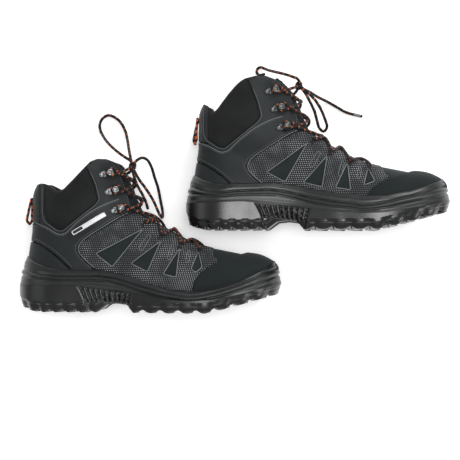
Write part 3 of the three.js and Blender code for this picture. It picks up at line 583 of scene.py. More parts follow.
def boot_piece(
    side, name, points, faces, finish, flat=None, stands_for=(), body=None, sharp=math.radians(40)
):
    """A piece of one boot, from upright millimetres; stands_for names the solids that it replaces."""
    if side == "left":
        faces = [tuple(reversed(f)) for f in faces]
    piece = new_mesh(f"{side}_{name}", laid(points, side), faces, finish, flat, sharp)
    PIECES[f"{side}_{name}"] = piece
    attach(piece, body or f"{side}_boot")
    if stands_for:
        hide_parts(*[f"{side}_{node}" for node in stands_for])
    return piece


def joined(parts):
    """Several (points, faces, flat) sets as one."""
    points, faces, flats, start = [], [], [], 0
    for p, f, t in parts:
        points.append(np.asarray(p))
        flats.append(np.asarray(t) if t is not None else np.zeros((len(p), 2)))
        faces.extend([tuple(c + start for c in face) for face in f])
        start += len(p)
    return np.concatenate(points), faces, np.concatenate(flats)


SIDES = ("right", "left")
print("helpers ready")

# %% [markdown]
# ## Cutting panels
# A panel of the upper is a patch of the last's surface inside an outline that is drawn in the side view.
# One fine grid covers the last. For each panel, every grid point gets its distance inside the outline,
# and the grid is cut where that distance is zero, which gives a clean edge. The same distance then
# rounds the panel's edge and presses the stitch lines in, so the seams follow the outline by themselves.

# %% Distance to an outline
def inside_by(outline, x, z):
    """How far inside a closed outline the points lie; negative outside."""
    points = np.array(outline, dtype=float)
    after = np.roll(points, -1, axis=0)
    best = np.full(x.shape, np.inf)
    inside = np.zeros(x.shape, dtype=bool)
    for (ax, az), (bx, bz) in zip(points, after):
        dx, dz = bx - ax, bz - az
        t = np.clip(((x - ax) * dx + (z - az) * dz) / (dx * dx + dz * dz + 1e-12), 0, 1)
        best = np.minimum(best, np.hypot(x - ax - t * dx, z - az - t * dz))
        crosses = (az > z) != (bz > z)
        with np.errstate(divide="ignore", invalid="ignore"):
            cut = (bx - ax) * (z - az) / (bz - az + 1e-12) + ax
        inside ^= crosses & (x < cut)
    return np.where(inside, best, -best)


def rounded(outline, radius, steps=4, closed=True):
    """The outline with its corners rounded."""
    points = np.array(outline, dtype=float)
    out = []
    count = len(points)
    for i in range(count):
        if not closed and i in (0, count - 1):
            out.append(points[i])
            continue
        before, here, after = points[i - 1], points[i], points[(i + 1) % count]
        a, b = before - here, after - here
        reach = min(radius, 0.45 * np.linalg.norm(a), 0.45 * np.linalg.norm(b))
        a, b = here + a / np.linalg.norm(a) * reach, here + b / np.linalg.norm(b) * reach
        for t in np.linspace(0, 1, steps + 1):
            out.append((1 - t) ** 2 * a + 2 * t * (1 - t) * here + t**2 * b)
    return np.array(out)


SQUARE = [(0, 0), (10, 0), (10, 10), (0, 10)]
print("the middle of a 10 mm square is inside by", inside_by(SQUARE, np.array([5.0]), np.array([5.0])))


# %% The two grids
FINE = (360, 92)  # points round the last and up it
COARSE = (150, 40)


def last_grid(shape):
    around, up = shape
    turns, levels = np.arange(around) * TURN / around, np.linspace(0, TOP_LEVEL, up)
    turn, level = np.meshgrid(turns, levels, indexing="ij")
    points = on_last(turn, level)
    return {"turn": turn.ravel(), "level": level.ravel(), "points": points.reshape(-1, 3), "shape": shape}


G, C = last_grid(FINE), last_grid(COARSE)
GX, GY, GZ = G["points"].T
CX, CY, CZ = C["points"].T
print("fine grid", len(GX), "points, coarse grid", len(CX))


# %% Cutting a grid
def cut_grid(grid, inside):
    """The part of the grid where inside is positive: turn, level, inside per point, and the triangles."""
    around, up = grid["shape"]
    i, j = np.meshgrid(np.arange(around), np.arange(up - 1), indexing="ij")
    a = (i * up + j).ravel()
    b = (((i + 1) % around) * up + j).ravel()
    c, d = b + 1, a + 1
    triangles = np.concatenate([np.stack([a, c, b], 1), np.stack([a, d, c], 1)])
    good = inside > 0
    count = good[triangles].sum(axis=1)
    turn, level, value = list(grid["turn"]), list(grid["level"]), list(inside)
    made = {}

    def cut(p, q):
        key = (p, q) if p < q else (q, p)
        if key not in made:
            p, q = key
            t = inside[p] / (inside[p] - inside[q])
            tq = grid["turn"][q]
            if tq - grid["turn"][p] > math.pi:
                tq -= TURN
            elif tq - grid["turn"][p] < -math.pi:
                tq += TURN
            made[key] = len(turn)
            turn.append(grid["turn"][p] * (1 - t) + tq * t)
            level.append(grid["level"][p] * (1 - t) + grid["level"][q] * t)
            value.append(0.0)
        return made[key]

    faces = [tuple(f) for f in triangles[count == 3]]
    for tri in triangles[(count == 1) | (count == 2)]:
        loop = []
        for k in range(3):
            p, q = int(tri[k]), int(tri[(k + 1) % 3])
            if good[p]:
                loop.append(p)
            if good[p] != good[q]:
                loop.append(cut(p, q))
        if len(set(loop)) >= 3:
            faces.append(tuple(loop))
    used = sorted({c for f in faces for c in f})
    place = {c: k for k, c in enumerate(used)}
    faces = [tuple(place[c] for c in f) for f in faces]
    return np.array(turn)[used], np.array(level)[used], np.array(value)[used], faces


def rim(faces):
    """The edges that only one face has, in that face's direction."""
    seen = set()
    for f in faces:
        for k in range(len(f)):
            seen.add((f[k], f[(k + 1) % len(f)]))
    return [(a, b) for a, b in seen if (b, a) not in seen]


print("a single triangle's rim is", sorted(rim([(0, 1, 2)])))

# %% A closed panel
HELD = {}  # which points of a panel its seams hold
SEAM_HOLD = 2.5  # millimetres from the edge


def panel(grid, inside, high, low):
    """A closed panel. high and low give depths from (points, inside)."""
    turn, level, value, faces = cut_grid(grid, inside)
    base = on_last(turn, level)
    skins = [
        at_depth(turn, level, depth(base, value) if callable(depth) else np.full(len(turn), depth))
        for depth in (high, low)
    ]
    n = len(turn)
    all_faces = list(faces) + [tuple(c + n for c in reversed(f)) for f in faces]
    all_faces += [(b, a, a + n, b + n) for a, b in rim(faces)]
    flat = base[:, [0, 2]]
    HELD["newest"] = np.concatenate([value < SEAM_HOLD, np.ones(n, dtype=bool)])
    return np.concatenate(skins), all_faces, np.concatenate([flat, flat])


def soft_edge(low, high, radius, groove_at=None, groove=0.35, width=0.9):
    """A depth that rounds down to the layer's lower side at its edge, with stitch grooves."""

    def depth(points, inside):
        t = np.clip(inside / radius, 0, 1)
        d = low + (high - low) * np.sqrt(np.clip(1 - (1 - t) ** 2, 0, 1))
        for place in groove_at or ():
            d = d - groove * np.exp(-(((inside - place) / width) ** 2))
        return d

    return depth


EDGE_TEST = soft_edge(0.0, 1.0, 2.0)
print("a soft edge's depth at 0, 1 and 2 mm:", np.round(EDGE_TEST(None, np.array([0.0, 1.0, 2.0])), 2))

# %% [markdown]
# ## The lines of the boot
# These are the pattern pieces, seen from the side: the seam of the heel patch, the edge of the cage, the
# toe cap, the collar. They are the same lines that the solid model is cut along, with rounder corners.

# %% Lines of the sole
FAR = 400.0  # well outside the boot
RAND_TOP = np.array([
    (0, 66), (11, 65), (25, 57), (42, 51), (70, 49), (105, 49), (135, 43), (160, 34.5),
    (182, 28), (208, 25.5), (235, 28.5), (262, 36.5), (285, 47.5), (303, 56), (312, 57),
], dtype=float)
OUTSOLE_TOP = np.array([
    (0, 31), (25, 31.5), (72, 31.5), (105, 28), (130, 25.5), (152, 21), (175, 17),
    (205, 14.5), (232, 16), (262, 21.5), (290, 28.5), (312, 34),
], dtype=float)
GROUND = np.array([
    (0, 12), (4, 6.5), (14, 2.5), (26, 0), (98, 0), (110, 9), (122, 10.5), (133, 9), (141, 0),
    (226, 0), (244, 4), (266, 9.5), (290, 16), (306, 20), (312, 24),
], dtype=float)
print("the rand's top runs from", RAND_TOP[0], "to", RAND_TOP[-1])

# %% Lines of the upper
HEEL_LINE = [(-5, 83), (17, 82), (28, 77), (40, 69.5), (52, 60.5), (63, 50), (72, 10)]
MESH_LINE = [
    (102, 10), (97, 49), (84, 60), (77, 68.5), (75.5, 75.5), (81, 83), (92, 90.5), (108, 99.5), (123, 109),
    (136, 115), (160, 126),
]
TOE_LINE = [(208, 10), (213, 36), (220, 46), (232, 54.5), (243, 60.5), (257, 64.5), (270, 68), (300, 78)]
VAMP_LINE = [(240, 59), (233, 68), (227, 86)]
COLLAR_BACK = [(-60, 148.5), (20, 149), (23, 149.8)]
COLLAR_FRONT = [(135, 161.5), (FAR, 161.5)]
COLLAR_RIGHT = COLLAR_BACK + [
    (28, 151.5), (33, 150.8), (40, 147), (47, 142.5), (53, 141.7), (58, 144), (70, 155.2), (84.2, 169.4),
    (90.3, 175.5), (98.4, 178.9), (108.5, 178.9), (116.6, 176), (124.6, 170.5),
] + COLLAR_FRONT
COLLAR_LEFT = COLLAR_BACK + [
    (26, 147.5), (30, 142.2), (33, 139.6), (35.5, 139), (40, 143), (44.6, 149), (52.5, 158.6), (61, 167.7),
    (67, 172.8), (73.4, 176.2), (85.7, 178.9), (98, 178.9), (106.3, 176.2), (116.6, 170.9),
] + COLLAR_FRONT
COLLARS = {"right": COLLAR_RIGHT, "left": COLLAR_LEFT}
CUFF_WINDOW = [
    (30, FAR), (30.5, 109), (45, 97), (53, 96.5), (91, 126), (94.5, 131.5), (91, 148), (82.5, 169), (77, 181),
    (74, FAR),
]
THROAT_HALF = [(88, 22), (112, 22), (128, 20.5), (156, 17), (190, 13), (222, 11), (230, 9)]
THROAT_SIDE = [
    (229, 60), (236, 100), (190, 140), (160, 215), (84, 215), (99, 170), (111, 138), (127, 112), (155, 90),
    (189, 71),
]
STAY_LINE = [(-60, 105), (17, 105), (28.5, 101.5), (28.5, FAR), (-60, FAR)]
print("the collars have", len(COLLAR_RIGHT), "and", len(COLLAR_LEFT), "points")

# %% Distances to the lines
SHIFTS = {"right": 4.0, "left": -4.0}  # the right ankle leans a little further forward than the left one
SHIFT_FROM, SHIFT_TO = 150.0, 110.0  # in front of the first nothing is shifted, behind the second all is
RAND_COVER = 9.0  # the panels end this far down inside the rand


def throat_by(x, y, z, extra=0.0):
    """How far inside the opening over the tongue a point is."""
    half = np.interp(x, *np.array(THROAT_HALF).T) + extra
    return np.minimum(inside_by(THROAT_SIDE, x, z) + extra, half - np.abs(y))


def front_of(points):
    return list(points) + [(FAR, points[-1][1]), (FAR, points[0][1])]


def smooth_step(low, high, value):
    t = np.clip((value - low) / (high - low), 0, 1)
    return t * t * (3 - 2 * t)


def ankle_shift(boot, x):
    return SHIFTS[boot] * smooth_step(SHIFT_FROM, SHIFT_TO, x)


def collar_by(boot, points, lower=0.0):
    """How far under the collar's edge the points are."""
    outline = COLLARS[boot] + [(FAR, -60), (-60, -60)]
    return inside_by(outline, points[..., 0], points[..., 2] + lower)


def line_at(line, x):
    """The height of a side-view line over x."""
    return np.interp(x, line[:, 0], line[:, 1])


throat_in = throat_by(GX, GY, GZ)
toe_in, mesh_in, vamp_top_in = (
    inside_by(front_of(line), GX, GZ) for line in (TOE_LINE, MESH_LINE, VAMP_LINE)
)
stay_in = inside_by(STAY_LINE, GX, GZ)
heel_outline = rounded(HEEL_LINE + [(-60, 10), (-60, 84)], 6)
by_boot = {}
for boot in SIDES:
    pattern_x = GX - ankle_shift(boot, GX)
    by_boot[boot] = {
        "collar": collar_by(boot, G["points"]),
        "heel": inside_by(heel_outline, pattern_x, GZ),
        "window": inside_by(rounded(CUFF_WINDOW, 5), pattern_x, GZ),
    }
sunk_in = GZ - (line_at(RAND_TOP, GX) - RAND_COVER)
print("the heel patch covers", int((by_boot["right"]["heel"] > 0).sum()), "points of the fine grid")

# %% [markdown]
# ## The upper's panels
# On the real boot the order of sewing decides what lies over what. The soft base layer is sewn first,
# then the quarters, the heel patch and the toe cap over it. Each overlay is about 1.6 mm thick, with a
# folded edge and one or two rows of stitches.

# %% The depths of the layers
BASE_LOW, BASE_HIGH = -1.6, 0.0
OVER_LOW, OVER_HIGH = 0.05, 1.9
CAGE_HIGH = 1.1
PANEL_SHARP = math.radians(50)


def piece_of_upper(name, inside, high, low, finish, grid=G, only=SIDES):
    """A panel that stands for the solid of the same name."""
    points, faces, flat = panel(grid, inside, high, low)
    for side in only:
        HELD[f"{side}_{name}"] = HELD["newest"]
        boot_piece(side, name, points, faces, finish, flat, [name], sharp=PANEL_SHARP)
    print(name, len(faces), "faces")


# %% Quarters
EDGE_ROUND = 1.3  # the radius of an overlay's folded edge
SEAM_DEPTH = 0.3  # how deep a stitch row presses in
SEAM_AT = 2.4  # its distance from the edge
SEAM_GAP = 0.3  # between two overlays that meet
HALF_GAP = 0.05  # between the outer and the inner half
not_throat = -throat_in
HALVES = ((-GY - HALF_GAP, "outer"), (GY - HALF_GAP, "inner"))
quarter_depth = soft_edge(OVER_LOW, OVER_HIGH, EDGE_ROUND, (2.6,), SEAM_DEPTH)
for boot, mask in by_boot.items():
    quarter_in = np.minimum.reduce([
        mask["collar"], not_throat, -mask["heel"] - SEAM_GAP, -stay_in - SEAM_GAP, -mesh_in - 0.2, -mask["window"],
        sunk_in,
    ])
    for half, word in HALVES:
        half_in = np.minimum(quarter_in, half)
        piece_of_upper(f"quarter_{word}", half_in, quarter_depth, BASE_HIGH, LEATHER, only=(boot,))

# %% Heel patch and backstay
for boot, mask in by_boot.items():
    for name, inside, extra in (
        ("heel_patch", np.minimum(mask["heel"], sunk_in), 0.1),
        ("backstay", np.minimum(stay_in, mask["collar"]), 0.0),
    ):
        depth = soft_edge(OVER_LOW, OVER_HIGH + extra, EDGE_ROUND, (SEAM_AT,), SEAM_DEPTH)
        piece_of_upper(name, inside, depth, BASE_HIGH, LEATHER, only=(boot,))

# %% Toe cap
TOE_SKIN = soft_edge(OVER_LOW, OVER_HIGH, 3.2, (3.4, 5.8), 0.2)
TOE_ROUND = 3.2  # the toe puff makes the cap stand out round its top
PUFF_PLACE, PUFF_LENGTH, PUFF_FROM, PUFF_TO = 284, 17, 44, 58  # along the boot, then up it


def toe_depth(points, inside):
    along = np.exp(-(((points[:, 0] - PUFF_PLACE) / PUFF_LENGTH) ** 2))
    return TOE_SKIN(points, inside) + TOE_ROUND * along * smooth_step(PUFF_FROM, PUFF_TO, points[:, 2])


piece_of_upper("toe_cap", np.minimum(toe_in, sunk_in), toe_depth, BASE_HIGH, SUEDE)

# %% [markdown]
# ## The cage
# The cage is a printed mesh skin with four windows on each side, and a dark textile shows through them.
# Each window has a pale raised edge. The pale yarn of the mesh is in the finish; the windows and edges
# are cut and modelled.

# %% Cage with its windows
CAGE_WINDOWS = {
    "outer": [
        [(96.3, 68.3), (151.9, 96.8), (116.6, 53.0)],
        [(138.6, 57.0), (173.3, 83.0), (158.8, 47.6)],
        [(177.0, 45.0), (195.4, 74.6), (192.4, 41.6)],
        [(209.3, 50.8), (216.6, 70.4), (222.2, 53.0), (214.6, 46.8)],
    ],
    "inner": [
        [(98.1, 66.9), (145.5, 100.4), (119.7, 55.2)],
        [(141.0, 54.5), (168.6, 85.4), (163.0, 49.2)],
        [(178.3, 48.2), (191.9, 77.0), (195.8, 45.2)],
        [(210.6, 50.6), (215.3, 70.4), (223.4, 54.6)],
    ],
}
CAGE_WINDOWS = {side: [rounded(w, 2.2) for w in sets] for side, sets in CAGE_WINDOWS.items()}
SLITS = [
    rounded([(147, 74), (158.5, 91.5), (161, 88), (152, 71.5)], 3),
    rounded([(181, 62), (185.5, 79), (188.5, 76.5), (185, 61)], 3),
    rounded([(202.5, 58), (204.5, 71.5), (208, 70.5), (206.5, 58)], 3),
]
cage_in = np.minimum.reduce([not_throat, mesh_in, -toe_in - SEAM_GAP, -vamp_top_in, sunk_in])
cage_depth = soft_edge(0.1, CAGE_HIGH, 0.8)
for half, word in HALVES:
    windows_in = np.max([inside_by(window, GX, GZ) for window in CAGE_WINDOWS[word]], axis=0)
    half_in = np.minimum.reduce([cage_in, -windows_in, half])
    piece_of_upper(f"cage_{word}", half_in, cage_depth, BASE_HIGH, CAGE)

# %% Collar panel
CUFF_LINE = [(-60, 96), (17, 96), (47, 88), (99, 127), (97, 146), (86, FAR), (-60, FAR)]
CUFF_PUFF, CUFF_EASE = 2.6, 6.0  # the softshell bulges out of its window, and over this distance
COLLAR_ROLL, COLLAR_DROP = 5.0, 3.0  # its top edge rolls inward


def quarter_round(t):
    """From 0 to 1 like a quarter of a circle."""
    return np.sqrt(np.clip(1 - (1 - np.clip(t, 0, 1)) ** 2, 0, 1))


def cuff_depth(boot):
    def depth(points, inside):
        pattern_x = points[:, 0] - ankle_shift(boot, points[:, 0])
        bulge = np.clip(inside_by(CUFF_WINDOW, pattern_x, points[:, 2]), 0, None)
        roll = quarter_round(collar_by(boot, points) / COLLAR_ROLL)
        return (BASE_HIGH + CUFF_PUFF * (1 - np.exp(-bulge / CUFF_EASE))) * roll - COLLAR_DROP * (1 - roll)

    return depth


for boot, mask in by_boot.items():
    cuff_in = np.minimum.reduce([inside_by(CUFF_LINE, GX, GZ), mask["collar"], not_throat])
    piece_of_upper("cuff", cuff_in, cuff_depth(boot), BASE_LOW, SOFTSHELL, only=(boot,))

# %% Base layer and lining
VAMP_BACK = 56
LINING_DEPTH, LINING_THICK = -3.7, 1.5
COLLAR_PADDING, PADDING_FROM, PADDING_TO = 4.5, 95, 130
LINING_RISE = 3.0  # the lining comes out to the collar's edge at the top


def lining_low(points, inside):
    return LINING_DEPTH - LINING_THICK - COLLAR_PADDING * smooth_step(PADDING_FROM, PADDING_TO, points[:, 2])


def lining_high(points, inside):
    top = np.clip(inside / 6.0, 0, 1)
    rise = LINING_RISE * (1 - top) ** 2 * np.clip((points[:, 2] - 120) / 20, 0, 1)
    return lining_low(points, inside) + LINING_THICK + rise


for boot in SIDES:
    vamp_in = np.minimum.reduce([
        -throat_by(CX, CY, CZ), -inside_by(CUFF_LINE, CX, CZ) - SEAM_GAP, collar_by(boot, C["points"], 0.6),
        CX - VAMP_BACK,
    ])
    piece_of_upper("vamp", vamp_in, BASE_HIGH - 0.02, BASE_LOW, VAMP, C, (boot,))
    lining_in = np.minimum(collar_by(boot, C["points"], 1.0), -throat_by(CX, CY, CZ, 7.4))
    piece_of_upper("lining", lining_in, lining_high, lining_low, LINING, C, (boot,))

# %% [markdown]
# ## The tongue
# The tongue is a foam pad in fabric. It lies under the lacing, bulges between the eyelet rows and ends in
# a rounded top just under the collar's height.

# %% Tongue
TONGUE_TOP = [
    (60, 186), (88, 185), (98, 184), (109, 180.5), (118, 175.5), (128, 167.5), (136, 160), (FAR, 160),
    (FAR, -60), (60, -60),
]
TONGUE_LOW, TONGUE_EDGE, TONGUE_CROWN = -8.3, -4.5, 3.0
QUILT_PITCH, QUILT_HEIGHT = 16.0, 0.5
TONGUE_OVERLAP = 6.5  # how far it reaches under the panels beside it


def tongue_high(points, inside):
    quilt = QUILT_HEIGHT * np.cos(points[:, 2] * TURN / QUILT_PITCH)
    return TONGUE_EDGE + (TONGUE_CROWN + quilt) * quarter_round(inside / 5.0)


tongue_in = np.minimum(throat_by(GX, GY, GZ, TONGUE_OVERLAP), inside_by(TONGUE_TOP, GX, GZ))
piece_of_upper("tongue", tongue_in, tongue_high, TONGUE_LOW, TONGUE)

# %% [markdown]
# ## Filling the padding
# The foam under the softshell and in the tongue pushes the fabric out between its seams. A short cloth
# simulation does that: the back and the seams are held, a little air pressure swells the front, and the
# movement is capped so that the panel stays a panel.

# %% Swelling the padded panels
AIR_PRESSURE = 4.0
STEPS_A_FRAME = 4
FABRIC_MASS, FABRIC_STRETCH, FABRIC_BEND = 0.2, 25.0, 2.0
LAST_FRAME = 20
MOST_SWELL = 0.0016
PADDED = ("cuff", "tongue")


def places(mesh):
    """The mesh's points as rows of x, y and z."""
    flat = np.empty(len(mesh.vertices) * 3)
    mesh.vertices.foreach_get("co", flat)
    return flat.reshape(-1, 3)


def swelled(piece, held):
    """Blows the piece up a little, with some of its points held. Returns the most and the mean movement."""
    mesh = piece.data
    start = places(mesh)
    group = piece.vertex_groups.new(name="held")
    group.add([int(k) for k in np.nonzero(held)[0]], 1.0, "REPLACE")
    cloth = piece.modifiers.new("cloth", "CLOTH")
    fabric = cloth.settings
    fabric.quality = STEPS_A_FRAME
    fabric.mass = FABRIC_MASS
    fabric.tension_stiffness = fabric.compression_stiffness = FABRIC_STRETCH
    fabric.bending_stiffness = FABRIC_BEND
    fabric.use_pressure = True
    fabric.uniform_pressure_force = AIR_PRESSURE
    fabric.vertex_group_mass = group.name
    fabric.effector_weights.gravity = 0.0
    cloth.collision_settings.use_collision = False
    cloth.point_cache.frame_end = LAST_FRAME
    for step in range(1, LAST_FRAME + 1):
        bpy.context.scene.frame_set(step)
    shown = piece.evaluated_get(bpy.context.evaluated_depsgraph_get())
    move = places(shown.data) - start
    size = np.linalg.norm(move, axis=1, keepdims=True)
    move = move * np.minimum(1.0, MOST_SWELL / np.maximum(size, 1e-9))
    piece.modifiers.remove(cloth)
    piece.vertex_groups.remove(group)
    bpy.context.scene.frame_set(1)
    mesh.vertices.foreach_set("co", (start + move).ravel())
    mesh.update()
    return float(size.max()), float(np.linalg.norm(move, axis=1).mean())


for side in SIDES:
    for name in PADDED:
        piece = PIECES[f"{side}_{name}"]
        print(piece.name, "moved", swelled(piece, HELD[f"{side}_{name}"]))

# %% [markdown]
# ## The sole
# The sole is moulded in two materials. The midsole's side rises to the rand, which wraps the upper and
# carries two rounded ridges. The outsole has a smooth block at the heel and the forefoot, leaning ribs
# under the arch, and lugs whose ends make a scalloped edge. All of that is height added to one smooth
# wall, so one function of the place along and up the wall describes it.

# %% The outline of the sole
INNER_RAISE = np.array([
    (0, 0), (40, 1), (61, 4), (92, 5), (117, 6), (143, 8), (168, 11.5), (195, 14), (215, 11.5), (236, 9.5),
    (256, 7.5), (277, 4), (295, 1), (312, 0),
])
ROUND_SOLE = 900  # points round the wall
RAND_THICK = 4.2


def raised(x, y, share=1.0):
    """The rand stands higher along the foot's inner side."""
    return share * line_at(INNER_RAISE, x) * smooth_step(-4.0, 12.0, y)


def rand_levels(turn):
    """The level of the rand's top at each turn, found by halving."""
    low, high = np.zeros(len(turn)), np.full(len(turn), 5.0)
    for _ in range(24):
        middle = (low + high) / 2
        p = on_last(turn, middle)
        under = p[:, 2] < line_at(RAND_TOP, p[:, 0]) + raised(p[:, 0], p[:, 1])
        low, high = np.where(under, middle, low), np.where(under, high, middle)
    return low


sole_turns = np.arange(ROUND_SOLE) * TURN / ROUND_SOLE
rand_level = rand_levels(sole_turns)
lip = at_depth(sole_turns, rand_level, np.full(ROUND_SOLE, RAND_THICK))
sole_x = SOLE_LENGTH * (1 + np.cos(sole_turns)) / 2
sole_y = half_width(SOLE_OUTER, SOLE_INNER, sole_turns)
sole_top = line_at(OUTSOLE_TOP, sole_x) + raised(sole_x, sole_y, 0.3)
foot_line = np.stack([sole_x, sole_y, sole_top], axis=1)
wall_out = out_of_last(sole_turns, np.full(ROUND_SOLE, 1.5))
wall_out[:, 2] = 0
wall_out /= np.linalg.norm(wall_out, axis=1, keepdims=True)
print("rand top at the heel", np.round(lip[ROUND_SOLE // 2], 1))

# %% Ridges and grooves of the midsole
GROOVE_1 = np.array([
    (0, 51), (11, 50), (20, 46), (30, 43), (50, 42), (100, 43), (120, 40), (150, 31), (170, 25.5), (190, 21.5),
    (205, 19.5), (220, 21), (240, 26), (260, 32), (280, 39.5), (295, 47), (312, 52),
], dtype=float)
GROOVE_2 = np.array([
    (0, 43), (20, 41), (38, 39), (50, 37.5), (80, 38), (110, 37), (130, 32), (150, 25), (170, 20), (190, 17),
    (205, 15), (220, 16), (240, 19.5), (260, 25), (280, 31.5), (295, 38), (312, 44),
], dtype=float)
GROOVE_WIDTHS, GROOVE_DEPTHS = (1.0, 1.2), (1.2, 1.35)
RIDGE_WIDTHS, RIDGE_HEIGHTS = (1.9, 2.4), (1.0, 0.7)
WALL_BACK = 0.9  # the ridged wall stands back by this, so that its ridges keep inside the sole's outline


def ridge(z, at, width, height):
    return height * np.exp(-(((z - at) / width) ** 2))


def midsole_relief(x, y, z):
    rise = raised(x, y, 0.62)
    first, second = line_at(GROOVE_1, x) + rise, line_at(GROOVE_2, x) + rise
    top = line_at(RAND_TOP, x) + raised(x, y)
    relief = -ridge(z, first, GROOVE_WIDTHS[0], GROOVE_DEPTHS[0])
    relief -= ridge(z, second, GROOVE_WIDTHS[1], GROOVE_DEPTHS[1])
    relief += ridge(z, (first + second) / 2, RIDGE_WIDTHS[0], RIDGE_HEIGHTS[0])
    relief += ridge(z, (first + top) / 2, RIDGE_WIDTHS[1], RIDGE_HEIGHTS[1])
    return relief - WALL_BACK


print("relief at the heel's first groove", midsole_relief(0.0, 0.0, 51.0).round(2))

# %% Midsole
WALL_RINGS = 40
WALL_BULGE = 1.5
FADE = 8  # the relief fades in over an eighth of the wall at its foot and its top
LIP_ROUND, LIP_FROM = 0.9, 0.93  # the rand's top edge turns inward here
LIP_INNER, DEEP_INNER, FOOT_INNER_STEP = 2.0, 2.2, 7.0


def ring_faces(rings, closed=False, around=ROUND_SOLE):
    """Quads between rings of points that follow one another."""
    faces = []
    for r in range(rings if closed else rings - 1):
        low, high = r * around, (r + 1) % rings * around
        for i in range(around):
            j = (i + 1) % around
            faces.append((low + i, high + i, high + j, low + j))
    return faces


rings = []
for share in np.linspace(0, 1, WALL_RINGS):
    p = foot_line * (1 - share) + lip * share
    bulge = WALL_BULGE * 4 * share * (1 - share)
    relief = midsole_relief(*p.T) * min(1.0, share * FADE, (1 - share) * FADE)
    edge = -LIP_ROUND * max(0.0, (share - LIP_FROM) / (1 - LIP_FROM)) ** 2
    rings.append(p + wall_out * (bulge + relief + edge)[:, None])
inner_lip = at_depth(sole_turns, rand_level, np.full(ROUND_SOLE, LIP_INNER))
rings.append((rings[-1] + inner_lip) / 2 + np.array([0, 0, 0.5]))
rings.append(inner_lip)
rings.append(at_depth(sole_turns, np.maximum(rand_level - 0.7, 0.05), np.full(ROUND_SOLE, DEEP_INNER)))
rings.append(foot_line - wall_out * FOOT_INNER_STEP)
mid_points = np.concatenate(rings)
mid_faces = ring_faces(len(rings), closed=True)
for side in SIDES:
    boot_piece(
        side, "midsole", mid_points, mid_faces, FOAM, mid_points[:, [0, 2]], ["midsole"],
        sharp=math.radians(60),
    )
print("midsole", len(mid_faces), "faces")

# %% [markdown]
# ## The tread
# The outsole's underside is a height field: deep channels between lugs that lean back at the heel, to
# brake, and forward at the forefoot, to push off. The bar under the arch is plain. The wall above the
# tread shows the ends of the lugs as scallops.

# %% Lugs
LUG_DEPTH = 6.0
HEEL_END = 108.0  # the heel's lugs are behind this, the forefoot's in front
ROW_START, ROW_PITCH = (12.0, 132.0), (15.5, 21.0)  # heel, forefoot
ROW_LEAN = (-0.28, 0.30)
BAR = (96.0, 101.0, 136.0, 141.0)  # the plain bar under the arch fades in and out here


def lug_rows(x):
    """The number of the lug row at x, as a running count: closer together at the heel."""
    heel, front = ((x - start) / pitch for start, pitch in zip(ROW_START, ROW_PITCH))
    return np.where(x < HEEL_END, heel, front)


def arch_bar(x):
    return smooth_step(BAR[0], BAR[1], x) * (1 - smooth_step(BAR[2], BAR[3], x))


def lug_height(x, across):
    """1 on a lug and 0 in a channel; across runs from -1 to 1 over the sole's width."""
    lean = np.where(x < HEEL_END, *ROW_LEAN) * (1 - np.abs(across)) * 1.4
    row = np.mod(lug_rows(x) + lean, 1.0)
    along = smooth_step(0.0, 0.10, row - 0.16) * (1 - smooth_step(0.0, 0.10, row - 0.80))
    columns = np.abs(np.mod(across * 1.5 + 0.5, 1.0) - 0.5)
    lugs = along * np.where(np.abs(across) > 0.94, 1.0, smooth_step(0.035, 0.10, columns))
    bar = arch_bar(x)
    return lugs * (1 - bar) + (0.45 + 0.35 * (np.abs(across) < 0.45)) * bar


def edge_wave(x):
    """0 at a lug's end and 1 in the gap between two, as a soft wave along the sole's edge."""
    row = np.mod(lug_rows(x) + 0.02, 1.0)
    return (0.5 + 0.5 * np.cos(row * TURN)) ** 1.5 * (1 - arch_bar(x))


print("lug rows", int(lug_rows(0.0)), "to", int(lug_rows(SOLE_LENGTH)))

# %% Wall of the outsole
ARCH = (76.0, 136.0)
RIB_PITCH, RIB_HEIGHT, RIB_RECESS = 6.6, 2.6, 3.4
RIB_BAND = (0.8, 3.0, 14.5, 16.5)  # the ribs fade in and out this far below the wall's top
INNER_ARCH_STEP = 8.0  # the ribs sit further forward on the inner side
GAP_DEPTH = (3.2, 3.4)  # heel, forefoot
BEVEL, BEVEL_HEIGHT = 2.2, 8.0
SCOOP, SCOOP_HEIGHT = 2.8, 12.0
HEEL_BLOCK = (1.3, 8.5, 10.5)  # how far it stands back, and the heights where that ends
FRONT_BLOCK = (0.9, 7.0, 8.5)


def wall_relief(x, z, top):
    """Out of the outsole's wall: a fan of ribs in a recess under the arch."""
    under = np.clip(top - z, 0, None)
    fan = x - under * np.clip((118.0 - x) * 0.016, -0.35, 0.62)
    arch = smooth_step(ARCH[0] - 0.8, ARCH[0] + 0.8, fan) * (1 - smooth_step(ARCH[1] + 3, ARCH[1] + 6, fan))
    ribs = (0.5 + 0.5 * np.cos((fan - ARCH[0]) * TURN / RIB_PITCH)) ** 0.7 * RIB_HEIGHT
    band = smooth_step(*RIB_BAND[:2], under) * (1 - smooth_step(*RIB_BAND[2:], under))
    return arch * (-RIB_RECESS + ribs * band)


def stands_back(block, height):
    return -block[0] * (1 - smooth_step(block[1], block[2], height))


